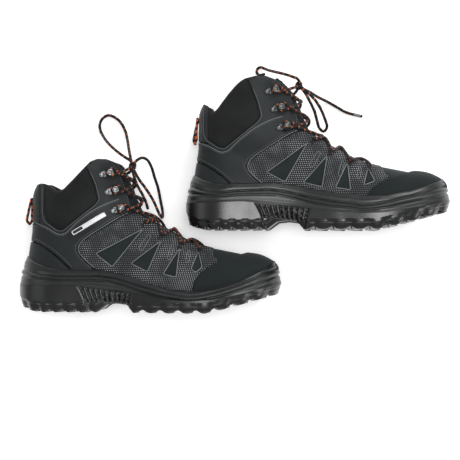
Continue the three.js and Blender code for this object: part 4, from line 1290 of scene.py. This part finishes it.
WALL_STEPS = 26
ground_edge = line_at(GROUND, sole_x)
gap_wave = edge_wave(sole_x)
edge_low = ground_edge + gap_wave * np.where(sole_x < HEEL_END, *GAP_DEPTH)
top_line = sole_top - 0.25
rib_x = sole_x - INNER_ARCH_STEP * smooth_step(-10.0, 10.0, sole_y)
forward = smooth_step(138, 150, sole_x)
wall_rings = []
for k in range(WALL_STEPS + 1):
    t = (k / WALL_STEPS) ** 0.9
    z = edge_low * (1 - t) + top_line * t
    height = z - ground_edge
    bevel = -BEVEL * np.clip(1 - height / BEVEL_HEIGHT, 0, 1) ** 2
    scoop = -SCOOP * gap_wave * np.clip(1 - height / SCOOP_HEIGHT, 0, 1) ** 0.6
    block = stands_back(HEEL_BLOCK, height) * (1 - forward) + stands_back(FRONT_BLOCK, height) * forward
    out = bevel + scoop + block + wall_relief(rib_x, z, top_line) * min(1.0, (1 - t) * FADE)
    wall_rings.append(np.stack([sole_x, sole_y, z], axis=1) + wall_out * out[:, None])
print("wall of", len(wall_rings), "rings")

# %% Sole sheets
ACROSS = 46
half = ROUND_SOLE // 2


def without_doubles(loop):
    return [v for n, v in enumerate(loop) if v not in loop[:n]]


def sole_sheet(ring, heights, start, ring_start, downward):
    """Fills a ring with strips from side to side; heights gives z from (x, across)."""
    points, faces = [], []
    columns = []
    for i in range(half + 1):
        a, b = i % ROUND_SOLE, (ROUND_SOLE - i) % ROUND_SOLE
        if a == b:
            columns.append([ring_start + a])
            continue
        row = [ring_start + a]
        for k in range(1, ACROSS):
            t = k / ACROSS
            p = ring[a] * (1 - t) + ring[b] * t
            p = np.array([p[0], p[1], heights(p[0], 2 * t - 1, p[2])])
            row.append(start + len(points))
            points.append(p)
        row.append(ring_start + b)
        columns.append(row)
    for c in range(half):
        one, two = columns[c], columns[c + 1]
        for k in range(ACROSS):
            a = one[min(k, len(one) - 1)]
            b = one[min(k + 1, len(one) - 1)]
            across_b = two[min(k + 1, len(two) - 1)]
            across_a = two[min(k, len(two) - 1)]
            loop = without_doubles((a, b, across_b, across_a))
            if len(loop) >= 3:
                faces.append(tuple(loop) if downward else tuple(reversed(loop)))
    return points, faces


def tread_height(x, across, z_edge):
    rise = LUG_DEPTH * (1 - lug_height(np.array(x), np.array(across)))
    near = smooth_step(0.90, 1.0, abs(across))
    return (line_at(GROUND, x) + rise) * (1 - near) + z_edge * near


# %% Outsole
under_start = ROUND_SOLE * len(wall_rings)
under_points, under_faces = sole_sheet(wall_rings[0], tread_height, under_start, 0, True)
roof_points, roof_faces = sole_sheet(
    wall_rings[-1], lambda x, across, z: z, under_start + len(under_points), ROUND_SOLE * WALL_STEPS, False
)
sole_points = np.concatenate([*wall_rings, np.array(under_points), np.array(roof_points)])
sole_faces = ring_faces(len(wall_rings)) + under_faces + roof_faces
for side in SIDES:
    boot_piece(
        side, "outsole", sole_points, sole_faces, RUBBER, sole_points[:, [0, 2]], ["outsole"],
        sharp=math.radians(62),
    )
print("outsole", len(sole_faces), "faces")

# %% [markdown]
# ## Cords and laces
# A lace is a round braid. A tube that follows a smooth path is enough, as long as its flat coordinates
# run along it, because the finish then braids it and puts the orange flecks in the right places.


# %% Tube helper
def smooth_path(points, step=1.6):
    """A smooth line through the points with evenly spaced places on it."""
    points = np.array(points, dtype=float)
    lengths = np.sqrt(np.linalg.norm(np.diff(points, axis=0), axis=1))
    knots = np.concatenate([[0], np.cumsum(lengths)])
    extended = np.vstack([2 * points[0] - points[1], points, 2 * points[-1] - points[-2]])
    ts = np.concatenate([[-lengths[0]], knots, [knots[-1] + lengths[-1]]])
    out = []
    for i in range(len(points) - 1):
        p0, p1, p2, p3 = extended[i:i + 4]
        t0, t1, t2, t3 = ts[i:i + 4]
        for t in np.linspace(t1, t2, 14, endpoint=False):
            a1 = (t1 - t) / (t1 - t0) * p0 + (t - t0) / (t1 - t0) * p1
            a2 = (t2 - t) / (t2 - t1) * p1 + (t - t1) / (t2 - t1) * p2
            a3 = (t3 - t) / (t3 - t2) * p2 + (t - t2) / (t3 - t2) * p3
            b1 = (t2 - t) / (t2 - t0) * a1 + (t - t0) / (t2 - t0) * a2
            b2 = (t3 - t) / (t3 - t1) * a2 + (t - t1) / (t3 - t1) * a3
            out.append((t2 - t) / (t2 - t1) * b1 + (t - t1) / (t2 - t1) * b2)
    out.append(points[-1])
    out = np.array(out)
    run = np.concatenate([[0], np.cumsum(np.linalg.norm(np.diff(out, axis=0), axis=1))])
    count = max(4, int(round(run[-1] / step)))
    places = np.linspace(0, run[-1], count + 1)
    return np.stack([np.interp(places, run, out[:, k]) for k in range(3)], axis=1)


def tube(path, radius, sides=10, start_u=0.0):
    """Points, faces and flat coordinates of a round tube; radius may vary along it."""
    path = np.asarray(path, dtype=float)
    count = len(path)
    radii = np.broadcast_to(np.asarray(radius, dtype=float), (count,))
    ahead = np.gradient(path, axis=0)
    ahead /= np.linalg.norm(ahead, axis=1, keepdims=True)
    helper = np.array([0.31, 0.17, 0.93])
    side = np.cross(helper, ahead[0])
    side /= np.linalg.norm(side)
    run = start_u + np.concatenate([[0], np.cumsum(np.linalg.norm(np.diff(path, axis=0), axis=1))])
    points, flat = [], []
    for k in range(count):
        side = side - ahead[k] * side.dot(ahead[k])
        side /= np.linalg.norm(side)
        other = np.cross(ahead[k], side)
        for m in range(sides):
            angle = TURN * m / sides
            points.append(path[k] + radii[k] * (math.cos(angle) * side + math.sin(angle) * other))
            flat.append((run[k], 100.0 * m / sides))
    faces = []
    for k in range(count - 1):
        for m in range(sides):
            n = (m + 1) % sides
            faces.append((k * sides + m, k * sides + n, (k + 1) * sides + n, (k + 1) * sides + m))
    faces.append(tuple(reversed(range(sides))))
    faces.append(tuple((count - 1) * sides + m for m in range(sides)))
    return np.array(points), faces, np.array(flat)


print("tube helper ready")

# %% [markdown]
# ## The held lacing
# The lace zigzags from the lowest eyelets to the highest, then crosses to the hooks and goes round each
# hook's neck. Both halves end in the bow's knot over the tongue.

# %% Lacing route
LACE = 3.5
HOOK_HEIGHT, HOOK_BASE, HOOK_HEAD, HOOK_NECK = 8.0, 1.3, 1.5, 1.3
HOOK_SEAT = OVER_HIGH + 0.9
HOOKS = {True: [(116, 118), (109, 140), (103, 160.5)], False: [(112, 118), (105, 140), (98.5, 160.5)]}
HOOK_REACH, HOOK_LEAN = 9.5, 0.3
EYELETS = [(218, 70), (195, 77), (172, 88), (151, 103)]
LACE_DEPTH = OVER_HIGH + 1.2 + LACE / 2
HOOK_LACE_DEPTH = HOOK_SEAT + (HOOK_BASE + HOOK_HEIGHT - HOOK_HEAD) / 2
KNOT_LEVEL, KNOT_DEPTH = 8.15, 6.5
ROW_DIP, HOOK_DIP, HALF_LIFT = -2.6, -2.2, 0.9  # the lace sinks between the rows and crosses itself
ROUND_NECK = ((0.6, -1), (-0.8, -0.75), (-0.8, 0.75), (0.6, 1))  # places round a hook's neck


def one_place(turn, level, depth):
    return at_depth(np.array([turn]), np.array([level]), np.array([depth]))[0]


def frame_on_last(x, z, outer, depth, lean):
    """Origin and axes (along, across, out) of a small frame standing on the upper."""
    turn, level = find_on_last(np.array([x]), np.array([z]), outer)
    out = out_of_last(turn, level)[0]
    along = np.array([math.cos(lean), 0.0, math.sin(lean)])
    along = along - out * along.dot(out)
    along /= np.linalg.norm(along)
    across = np.cross(out, along)
    return at_depth(turn, level, np.array([depth]))[0], along, across, out


def spot(x, z, outer):
    turn, level = find_on_last(np.array([x]), np.array([z]), outer)
    turn = float(turn[0])
    return (turn - TURN if turn > math.pi else turn), float(level[0])


def over_throat(start, end, count, lift=1.0):
    t = (np.arange(count) + 0.5) / count
    turn = start[0] * (1 - t) + end[0] * t
    level = start[1] * (1 - t) + end[1] * t
    sink = np.sin(math.pi * np.clip(t, 0, 1)) ** 0.6
    return list(at_depth(turn, level, LACE_DEPTH + lift * sink))


def across_instep(start, end, count, lift):
    """Straight across in the plan, and up and down with the instep."""
    a, b = one_place(*start, LACE_DEPTH), one_place(*end, LACE_DEPTH)
    t = (np.arange(count) + 0.5) / count
    turn, level = find_from_above(a[0] * (1 - t) + b[0] * t, a[1] * (1 - t) + b[1] * t)
    return list(at_depth(turn, level, LACE_DEPTH + lift * np.sin(math.pi * t) ** 0.6))


def crossing_lift(outer, row):
    """One half of the lace goes over the other where they cross, in turns."""
    return (HALF_LIFT if outer else -HALF_LIFT) * (-1) ** row


def lace_half(outer):
    last = spot(*EYELETS[0], outer)
    points = [one_place(*last, LACE_DEPTH)]
    for row, eyelet in enumerate(EYELETS[1:]):
        outer = not outer
        following = spot(*eyelet, outer)
        points += across_instep(last, following, 4, ROW_DIP + crossing_lift(outer, row))
        points.append(one_place(*following, LACE_DEPTH))
        last = following
    for row in range(3):
        outer = not outer
        hook = HOOKS[outer][row]
        origin, along, across, out = frame_on_last(*hook, outer, HOOK_LACE_DEPTH, HOOK_LEAN)
        following = spot(hook[0] + HOOK_REACH + 6, hook[1] + 1, outer)
        points += over_throat(last, following, 4, HOOK_DIP + crossing_lift(outer, row))
        reach = HOOK_NECK + 0.9 + LACE / 2
        sign = -1 if outer else 1
        for dx, dy in ROUND_NECK:
            points.append(origin + along * (HOOK_REACH + dx * reach) + across * (sign * dy * reach))
        last = following
    points += over_throat(last, (0.0, KNOT_LEVEL), 3, 0.0)[:2]
    return points


# %% Held lace
knot_place = one_place(0.0, KNOT_LEVEL, KNOT_DEPTH)
lace_tubes = []
for outer in (True, False):
    route = smooth_path(lace_half(outer) + [knot_place], 1.5)
    lace_tubes.append(tube(route, LACE / 2, 9, start_u=4.5 if outer else 0.0))
    print("half of the lacing is", round(float(np.linalg.norm(np.diff(route, axis=0), axis=1).sum())), "mm long")

# %% The bow's knot
KNOT_WRAPS = ((0.5, 4.3, 0.0), (-0.6, 4.0, 0.4), (1.5, 3.6, 1.0))  # tilt, size and start of each


def knot_tubes():
    """Three short wraps of lace round the crossing."""
    wraps = []
    for tilt, size, phase in KNOT_WRAPS:
        wrap = []
        for a in np.linspace(phase, phase + TURN * 0.92, 26):
            across = size * 1.25 * math.sin(a) * math.cos(tilt) + math.cos(a)
            up = size * math.sin(a) * math.sin(tilt) + 2.0 * math.cos(a) * math.cos(tilt)
            wrap.append(knot_place + np.array([2.8 * math.cos(a), across, up]))
        wraps.append(tube(np.array(wrap), LACE / 2, 9, start_u=phase * 10))
    return wraps


lacing_points, lacing_faces, lacing_flat = joined(lace_tubes + knot_tubes())
print("lacing", len(lacing_faces), "faces")

# %% [markdown]
# ## The free loops and ends
# The bow's loops and the long lace end leave the knot and fall to the floor, which is beside the boot.
# These are the same routes as in the solid model, in the plan of the pair, with their height over the floor.

# %% Free laces
PAIR_MIDDLE = (254.662, 142.624)
LEFT_STEP = (198.0, 96.0)
LOW = LACE / 2 + 0.3  # height of a lace that lies on the floor
FREE_LACES = {
    "right": {
        "lace_loop_a": [
            (132, 179, 52), (124, 184, 49), (113, 192.5, 40), (103, 202, 24), (96, 211, 9), (92, 219, LOW),
            (91.5, 226, LOW), (95, 233, LOW), (102, 236.7, LOW), (110, 234, LOW), (117, 228, LOW),
            (122.5, 218, LOW), (126, 206, 10), (129, 194, 26), (132, 184, 42),
        ],
        "lace_loop_b": [
            (141, 179, 51), (146, 182, 46), (152, 180, 40), (157, 171, 34), (160, 160, 28), (164, 147, 23),
            (167, 131, 20), (169.5, 119, 24), (170, 111, 36), (167, 115, 45), (160, 131, 50), (152, 144, 52),
            (144, 155, 54),
        ],
        "lace_end": [(138, 158, 56), (142, 148, 58), (147, 139, 56), (151, 130, 52), (153.5, 121, 48)],
    },
    "left": {
        "lace_loop_a": [
            (132, 179, 58), (124, 182, 58), (115, 185.5, 52), (107, 189, 40), (101, 193, 22), (96, 197, 6),
            (91, 199.5, LOW), (87, 198, LOW), (86, 193, LOW), (89, 189.5, 5), (95, 190, 11),
        ],
        "lace_loop_b": [
            (144, 160, 50), (149, 151, 47), (154, 141, 43), (157, 131, 40), (160, 122, 38), (165, 118, 38),
            (169, 123, 40), (166, 133, 43), (161, 144, 47), (155, 153, 51),
        ],
        "lace_end": [
            (142, 167, 46), (150, 165, 34), (158, 162, 20), (166, 159.5, 9), (174, 156.5, LOW),
            (184.5, 150.5, LOW), (194, 145, LOW), (203, 142, LOW), (214.8, 139.4, LOW),
        ],
    },
}
print("free laces", sum(len(laces) for laces in FREE_LACES.values()))


# %% From the knot to the floor
def in_the_pair(points, side):
    """The plan's places, counted from the middle of the pair."""
    step = LEFT_STEP if side == "left" else (0.0, 0.0)
    return [(x + step[0] - PAIR_MIDDLE[0], y + step[1] - PAIR_MIDDLE[1], height) for x, y, height in points]


def upright(points, side):
    """Row metres to the upright boot's millimetres."""
    turn, place = BOOTS[side]
    local = (np.asarray(points) - place) @ np.linalg.inv(turn).T
    return local * np.array([1.0, -1.0, 1.0]) if side == "left" else local


def strand(tip, after):
    """A short piece of lace from the knot to the place where a free lace starts."""
    away = tip - after
    away /= np.linalg.norm(away)
    span = np.linalg.norm(tip - knot_place)
    return smooth_path([knot_place, (knot_place + tip + away * span * 0.35) / 2, tip, after], 1.2)


NEAR_KNOT = 34.0
for side, laces in FREE_LACES.items():
    lacing_parts = [(lacing_points, lacing_faces, lacing_flat)]
    for name, points in laces.items():
        route = smooth_path(in_the_pair(points, side), 1.5)
        local = upright(route * MM, side)
        for tip, after in ((local[0], local[2]), (local[-1], local[-3])):
            if np.linalg.norm(tip - knot_place) < NEAR_KNOT:
                lacing_parts.append(tube(strand(tip, after), LACE / 2, 9))
        points_mm, faces, flat = tube(route, LACE / 2, 10)
        piece = new_mesh(f"{side}_{name}", points_mm * MM, faces, LACE_BRAID, flat, None)
        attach(piece, f"{side}_boot")
        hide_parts(f"{side}_{name}")
    points, faces, flat = joined(lacing_parts)
    boot_piece(side, "lacing", points, faces, LACE_BRAID, flat, ["lacing"], sharp=None)

# %% Lace tip
# The left boot's lace end is bound with a thin hard tip.
TIP = [(204.5, 141.7), (208.0, 140.9), (211.5, 140.15), (215.5, 139.2)]
TIP_RADII = [1.95, 1.9, 1.85, 1.3]
tip_route = np.array(in_the_pair([(x, y, LOW + 0.1) for x, y in TIP], "left"))
points_mm, faces, flat = tube(tip_route, np.array(TIP_RADII), 12)
aglet = new_mesh("left_lace_aglet", points_mm * MM, faces, AGLET, flat, math.radians(40))
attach(aglet, "left_boot")
print("lace tip made")

# %% [markdown]
# ## Hooks
# Each hook is stamped from one strip of metal: a rounded foot with a rivet through it, a narrow neck and
# a rounded head that keeps the lace under it. It is turned from a profile and a flat outline here.


# %% Hook mesh
def disc(radius, low, high, x, sides=20, dome=0.0):
    """A flat round piece with softened edges, or a dome."""
    steps = [(radius, low), (radius, (low + high) / 2), (radius * 0.93, high)]
    if dome:
        steps += [(radius * 0.75, high + dome * 0.55), (radius * 0.4, high + dome * 0.9)]
    points = [(x, 0.0, low)]
    for r, z in steps:
        for angle in np.arange(sides) * TURN / sides:
            points.append((x + r * math.cos(angle), r * math.sin(angle), z))
    points.append((x, 0.0, high + dome))
    faces = [(0, 1 + (k + 1) % sides, 1 + k) for k in range(sides)]
    rings = len(steps)
    for r in range(rings - 1):
        for k in range(sides):
            a, b = 1 + r * sides + k, 1 + r * sides + (k + 1) % sides
            faces.append((a, b, b + sides, a + sides))
    top = len(points) - 1
    start = 1 + (rings - 1) * sides
    faces += [(start + k, start + (k + 1) % sides, top) for k in range(sides)]
    return np.array(points, dtype=float), faces, None


def stadium(length, width, low, high, sides=10):
    """A flat strip with round ends along x."""
    outline = []
    for x, start in ((length, -math.pi / 2), (0.0, math.pi / 2)):
        for a in np.linspace(start, start + math.pi, sides):
            outline.append((x + width / 2 * math.cos(a), width / 2 * math.sin(a)))
    n = len(outline)
    points = [(x, y, low) for x, y in outline] + [(x, y, high) for x, y in outline]
    faces = [tuple(reversed(range(n))), tuple(n + k for k in range(n))]
    faces += [(k, (k + 1) % n, n + (k + 1) % n, n + k) for k in range(n)]
    return np.array(points, dtype=float), faces, None


def ring(radius, wire, z, x, sides=22, around=8):
    """A round wire bent to a circle."""
    points, faces = [], []
    for k in range(sides):
        a = TURN * k / sides
        for m in range(around):
            b = TURN * m / around
            r = radius + wire * math.cos(b)
            points.append((x + r * math.cos(a), r * math.sin(a), z + wire * math.sin(b)))
    for k in range(sides):
        for m in range(around):
            n, j = (m + 1) % around, (k + 1) % sides
            faces.append((k * around + m, j * around + m, j * around + n, k * around + n))
    return np.array(points, dtype=float), faces, None


def stood_on_last(local, x, z, outer, depth, lean):
    """The local points (along, across, out) on the upper."""
    origin, along, across, out = frame_on_last(x, z, outer, depth, lean)
    return origin + local[:, :1] * along + local[:, 1:2] * across + local[:, 2:] * out


print("disc, strip and ring ready")

# %% Hooks
hook_points, hook_faces, _ = joined([
    stadium(HOOK_REACH, 6.4, 0.0, 1.0),
    disc(3.3, 0.9, 1.5, 0.0, dome=1.5),
    disc(HOOK_NECK, 0.9, HOOK_HEIGHT - 1.0, HOOK_REACH, 14),
    disc(2.0, HOOK_HEIGHT - 1.7, HOOK_HEIGHT - 1.2, HOOK_REACH, dome=0.2),
    ring(3.0, 0.85, HOOK_HEIGHT - 1.0, HOOK_REACH),
])
for number in (1, 2, 3):
    for outer in (True, False):
        x, z = HOOKS[outer][number - 1]
        placed = stood_on_last(hook_points, x, z, outer, HOOK_SEAT - 0.75, HOOK_LEAN)
        node = f"hook_{'outer' if outer else 'inner'}_{number}"
        # The inner hooks get the darker copy of the hook metal, which is painted shade.
        metal = HOOK_METAL if outer else HOOK_METAL_PAINTED_SHADE
        for side in SIDES:
            boot_piece(side, node, placed, hook_faces, metal, None, [node], sharp=math.radians(35))
print("hook has", len(hook_faces), "faces")

# %% [markdown]
# ## Eyelets
# Below the hooks the lace goes through punched holes, each with a small dark ring.

# %% Eyelet rings
eyelet_points, eyelet_faces, _ = joined([ring(2.1, 0.5, 0.1, 0.0), disc(1.8, -0.5, 0.0, 0.0)])
for side in SIDES:
    sets = []
    for x, z in EYELETS:
        for outer in (True, False):
            placed = stood_on_last(eyelet_points, x - 1.0, z - 2.0, outer, CAGE_HIGH, 0.0)
            sets.append((placed, eyelet_faces, None))
    points, faces, _ = joined(sets)
    boot_piece(side, "eyelets", points, faces, EYELET)
print("eyelets made")

# %% [markdown]
# ## Stitching
# A seam shows as a row of separate stitches, each a small bead that sinks at its ends. The rows follow the
# pattern lines a few millimetres inside them.


# %% Stitches along a line
def walk(points, step):
    """Places every step along a line in the side view."""
    points = np.array(points, dtype=float)
    run = np.concatenate([[0], np.cumsum(np.linalg.norm(np.diff(points, axis=0), axis=1))])
    places = np.arange(step / 2, run[-1], step)
    return np.stack([np.interp(places, run, points[:, k]) for k in range(2)], axis=1)


STITCH_PLACES = np.array([-1.0, -0.55, 0.55, 1.0])  # along half the stitch
STITCH_SIZES = np.array([0.35, 1.0, 1.0, 0.35])
STITCH_LIFTS = np.array([-0.35, 0.0, 0.0, -0.35])
OFF_THE_LINE = 3.5  # a stitch that lands further away than this is on the other side and is left out


def stitch_row(line, outer, depth, pitch=3.0, length=2.3, radius=0.42, sides=6):
    """Small beads along a side-view line, on one side of the boot."""
    centres = walk(line, pitch)
    ahead = np.gradient(centres, axis=0)
    ahead /= np.linalg.norm(ahead, axis=1, keepdims=True)
    flat = centres[:, None, :] + ahead[:, None, :] * STITCH_PLACES[None, :, None] * length / 2
    turn, level = find_on_last(flat[..., 0].ravel(), flat[..., 1].ravel(), outer)
    middle = at_depth(turn, level, depth + np.tile(STITCH_LIFTS, len(centres))).reshape(len(centres), 4, 3)
    out = out_of_last(turn, level).reshape(len(centres), 4, 3)
    error = np.abs(middle[..., 0] - flat[..., 0]).max(axis=1)
    points, faces = [], []
    for k in range(len(centres)):
        if error[k] > OFF_THE_LINE:
            continue
        start = len(points)
        direction = middle[k, 3] - middle[k, 0]
        direction /= max(np.linalg.norm(direction), 1e-9)
        for m in range(4):
            up = out[k, m]
            across = np.cross(direction, up)
            for s in range(sides):
                a = TURN * s / sides
                points.append(middle[k, m] + radius * STITCH_SIZES[m] * (math.cos(a) * across + math.sin(a) * up))
        for m in range(3):
            for s in range(sides):
                n = (s + 1) % sides
                low, high = start + m * sides, start + (m + 1) * sides
                faces.append((low + s, low + n, high + n, high + s))
        faces.append(tuple(start + s for s in reversed(range(sides))))
        faces.append(tuple(start + 3 * sides + s for s in range(sides)))
    return np.array(points).reshape(-1, 3), faces, None


def beside(line, distance):
    """The line moved to its left."""
    points = np.array(line, dtype=float)
    ahead = np.gradient(points, axis=0)
    ahead /= np.linalg.norm(ahead, axis=1, keepdims=True)
    return points + distance * np.stack([-ahead[:, 1], ahead[:, 0]], axis=1)


def moved(line, boot):
    """The ankle's lines lie further forward on the right boot."""
    line = np.array(line, dtype=float)
    return np.stack([line[:, 0] + ankle_shift(boot, line[:, 0]), line[:, 1]], axis=1)


print("stitch helper ready")

# %% Stitching lines
QUARTER_TOP = OVER_HIGH + 0.05
PANEL_LINE = rounded([
    (28.5, 145), (28, 117), (30, 106.5), (46.5, 95.2), (53.5, 94.7), (92.5, 125), (97, 132), (93, 148),
    (86.8, 164),
], 4, closed=False)
ANKLE_LINE = rounded([
    (20, 104), (32, 100), (48, 90.5), (56, 91.5), (71, 105.5), (88, 118), (104, 126.5), (119, 132),
], 7, closed=False)
HEEL_SEAM = rounded([(18.5, 84.3), (29.5, 79.3), (42, 71.5), (54, 62), (64, 52.5)], 8, closed=False)
CAGE_SEAM = rounded([
    (93, 52), (83, 60), (75, 68), (73, 75.5), (78.5, 84), (90, 92), (106.5, 101.3), (121, 110.5), (131, 115.5),
], 7, closed=False)
EYELET_SEAM = rounded([(125, 118), (133, 125), (129, 142), (121, 162), (115, 173)], 6, closed=False)
stitch_lines = [  # the line, its depth, and whether it moves with the ankle
    (PANEL_LINE, QUARTER_TOP, True),
    (beside(ANKLE_LINE, -1.6), QUARTER_TOP, True),
    (beside(HEEL_SEAM, 1.2), QUARTER_TOP, True),
    (beside(CAGE_SEAM, 1.4), QUARTER_TOP, False),
    (EYELET_SEAM, QUARTER_TOP, False),
]
for side in SIDES:
    rows = [
        stitch_row(moved(line, side) if shifts else line, outer, depth)
        for line, depth, shifts in stitch_lines for outer in (True, False)
    ]
    points, faces, _ = joined(rows)
    boot_piece(side, "stitching", points, faces, STITCH, sharp=None)
print("stitches", len(faces), "faces")


# %% Window edges
def edge_cord(outline, outer, depth, radius, closed=True, step=1.8):
    """A thin cord laid along a side-view outline."""
    loop = np.array(outline)
    if closed:
        loop = np.vstack([loop, loop[:1]])
    run = np.concatenate([[0], np.cumsum(np.linalg.norm(np.diff(loop, axis=0), axis=1))])
    count = max(6, int(run[-1] / step))
    places = np.linspace(0, run[-1], count + 1)
    flat = np.stack([np.interp(places, run, loop[:, k]) for k in range(2)], axis=1)
    turn, level = find_on_last(flat[:, 0], flat[:, 1], outer)
    return tube(at_depth(turn, level, np.full(len(turn), depth)), radius, 6)


for side in SIDES:
    sets = []
    for outer in (True, False):
        for outline in CAGE_WINDOWS["outer" if outer else "inner"]:
            sets.append(edge_cord(outline, outer, CAGE_HIGH - 0.1, 0.55))
        for outline in SLITS:
            sets.append(edge_cord(outline, outer, CAGE_HIGH - 0.05, 0.36))
        sets.append(edge_cord(CAGE_SEAM + [2.4, 0.2], outer, CAGE_HIGH + 0.15, 0.5, closed=False))
        sets.append(edge_cord(moved(ANKLE_LINE, side), outer, OVER_HIGH - 0.1, 0.42, closed=False))
        sets.append(edge_cord(moved(PANEL_LINE, side), outer, OVER_HIGH - 0.2, 0.34, closed=False))
    points, faces, flat = joined(sets)
    boot_piece(side, "window_edges", points, faces, PIPING, flat, sharp=None)
print("window edges", len(faces), "faces")

# %% [markdown]
# ## Label and heel loop
# A plain woven label slants along the quarter of the outer side. The heel's pull loop is a short doubled
# cord that swings on its seam, so it rides on a body of its own.

# %% Label
LABEL_OUTLINE = rounded([(67.5, 94.3), (70.4, 89.8), (109.2, 112.2), (106.6, 117)], 0.8)
label_in = np.minimum(inside_by(LABEL_OUTLINE, GX, GZ), -GY)
points, faces, flat = panel(G, label_in, soft_edge(OVER_HIGH, OVER_HIGH + 0.8, 0.5), OVER_HIGH - 0.4)
BLOCK_OUTLINE = rounded([(69.2, 94.2), (71.0, 91.4), (82.5, 98.0), (80.7, 100.9)], 0.4)
block_in = np.minimum(inside_by(BLOCK_OUTLINE, GX, GZ), -GY)
block_points, block_faces, block_flat = panel(G, block_in, OVER_HIGH + 0.95, OVER_HIGH + 0.3)
for side in SIDES:
    boot_piece(side, "label", points, faces, LABEL, flat, ["label"])
    boot_piece(side, "label_block", block_points, block_faces, LABEL_DARK, block_flat)
print("label", len(faces), "faces")

# %% Heel loop
LOOP = {"height": 133.0, "half": 4.5, "drop": 27.0, "out": 3.4, "twist": 2.2, "cord": 3.2}


def loop_route():
    x, z = 14.0, LOOP["height"]
    route = []
    for sign, shares in ((1, (0.0, 0.35, 0.7, 0.94)), (-1, (0.94, 0.7, 0.35, 0.0))):
        for t in shares:
            along = x - LOOP["out"] * math.sin(t * 1.4) + sign * LOOP["twist"] * t
            route.append((along, sign * LOOP["half"], z - LOOP["drop"] * t))
        if sign == 1:
            route += [(x - LOOP["out"], k * LOOP["half"], z - LOOP["drop"] * 1.08) for k in (0.6, -0.6)]
    return route


route = smooth_path(loop_route(), 1.2)
pin = np.array([(14.0, k, LOOP["height"]) for k in np.linspace(-5.2, 5.2, 9)])
points, faces, flat = joined([tube(route, LOOP["cord"] / 2, 10), tube(pin, 1.6, 10)])
for side in SIDES:
    boot_piece(
        side, "heel_loop", points, faces, LOOP_BRAID, flat, ["heel_loop"], body=f"{side}_loop", sharp=None
    )
print("heel loop made")

# %% [markdown]
# ## What is inside
# The lasting board, the shank and the stiffeners are closed in and keep the solid model's own shapes.
# They only need a finish. The footbed shows down the collar, so it is made again with a soft top.

# %% Hidden pieces
HIDDEN = {"lasting_board": BOARD, "shank": SHANK_STEEL, "toe_puff": STIFFENER, "heel_counter": STIFFENER}
for side in SIDES:
    for node, finish in HIDDEN.items():
        materials = frame["nodes"][f"{side}_{node}"].data.materials
        materials.clear()
        materials.append(finish)
print("hidden pieces finished", 2 * len(HIDDEN))

# %% Footbed
ROUND_BED = 120
BED_DEPTH = -6.4
BED_RINGS = ((0.0, 0.3), (0.0, 3.2), (0.06, 4.3), (0.2, 4.5), (0.55, 4.2), (0.85, 4.0))  # inset and lift
bed_turns = np.arange(ROUND_BED) * TURN / ROUND_BED
bed_rim = at_depth(bed_turns, np.zeros(ROUND_BED), np.full(ROUND_BED, BED_DEPTH))
bed_floor = on_last(bed_turns, np.zeros(ROUND_BED))[:, 2]
bed_middle = np.stack([bed_rim[:, 0], np.full(ROUND_BED, bed_rim[:, 1].mean())], axis=1)
bed_points = np.concatenate([
    np.column_stack([bed_rim[:, :2] * (1 - inset) + bed_middle * inset, bed_floor + lift])
    for inset, lift in BED_RINGS
])
bed_faces = ring_faces(len(BED_RINGS), around=ROUND_BED)
for ring_start, flip in ((0, True), ((len(BED_RINGS) - 1) * ROUND_BED, False)):
    for i in range(ROUND_BED // 2):
        across = ((ROUND_BED - i - 1) % ROUND_BED, (ROUND_BED - i) % ROUND_BED)
        loop = without_doubles([ring_start + c for c in (i, i + 1, *across)])
        if len(loop) >= 3:
            bed_faces.append(tuple(loop) if flip else tuple(reversed(loop)))
for side in SIDES:
    boot_piece(side, "footbed", bed_points, bed_faces, LINING, bed_points[:, :2], ["footbed"])
print("footbed", len(bed_faces), "faces")

# %% Facing
# Every closed mesh gets its faces turned out.
for piece in list(bpy.data.objects):
    if piece.type == "MESH" and piece.name not in frame["nodes"] and piece.name not in frame["bodies"]:
        b = bmesh.new()
        b.from_mesh(piece.data)
        bmesh.ops.recalc_face_normals(b, faces=b.faces)
        b.to_mesh(piece.data)
        b.free()

# %% Floor
FLOOR_GREY, FLOOR_GLOW = (0.95, 0.95, 0.95, 1.0), 0.30
floor_mesh = bpy.data.meshes.new("floor")
floor_mesh.from_pydata([(-6, -6, 0), (6, -6, 0), (6, 6, 0), (-6, 6, 0)], [], [(0, 1, 2, 3)])
floor = bpy.data.objects.new("floor", floor_mesh)
paper = Nodes("floor_paper").finish(
    FLOOR_GREY, 0.9, Specular_IOR_Level=0.0, Emission_Color=(1.0, 1.0, 1.0, 1.0), Emission_Strength=FLOOR_GLOW,
)
floor_mesh.materials.append(paper)
floor.location.z = -0.0005  # just under the boots
bpy.context.collection.objects.link(floor)
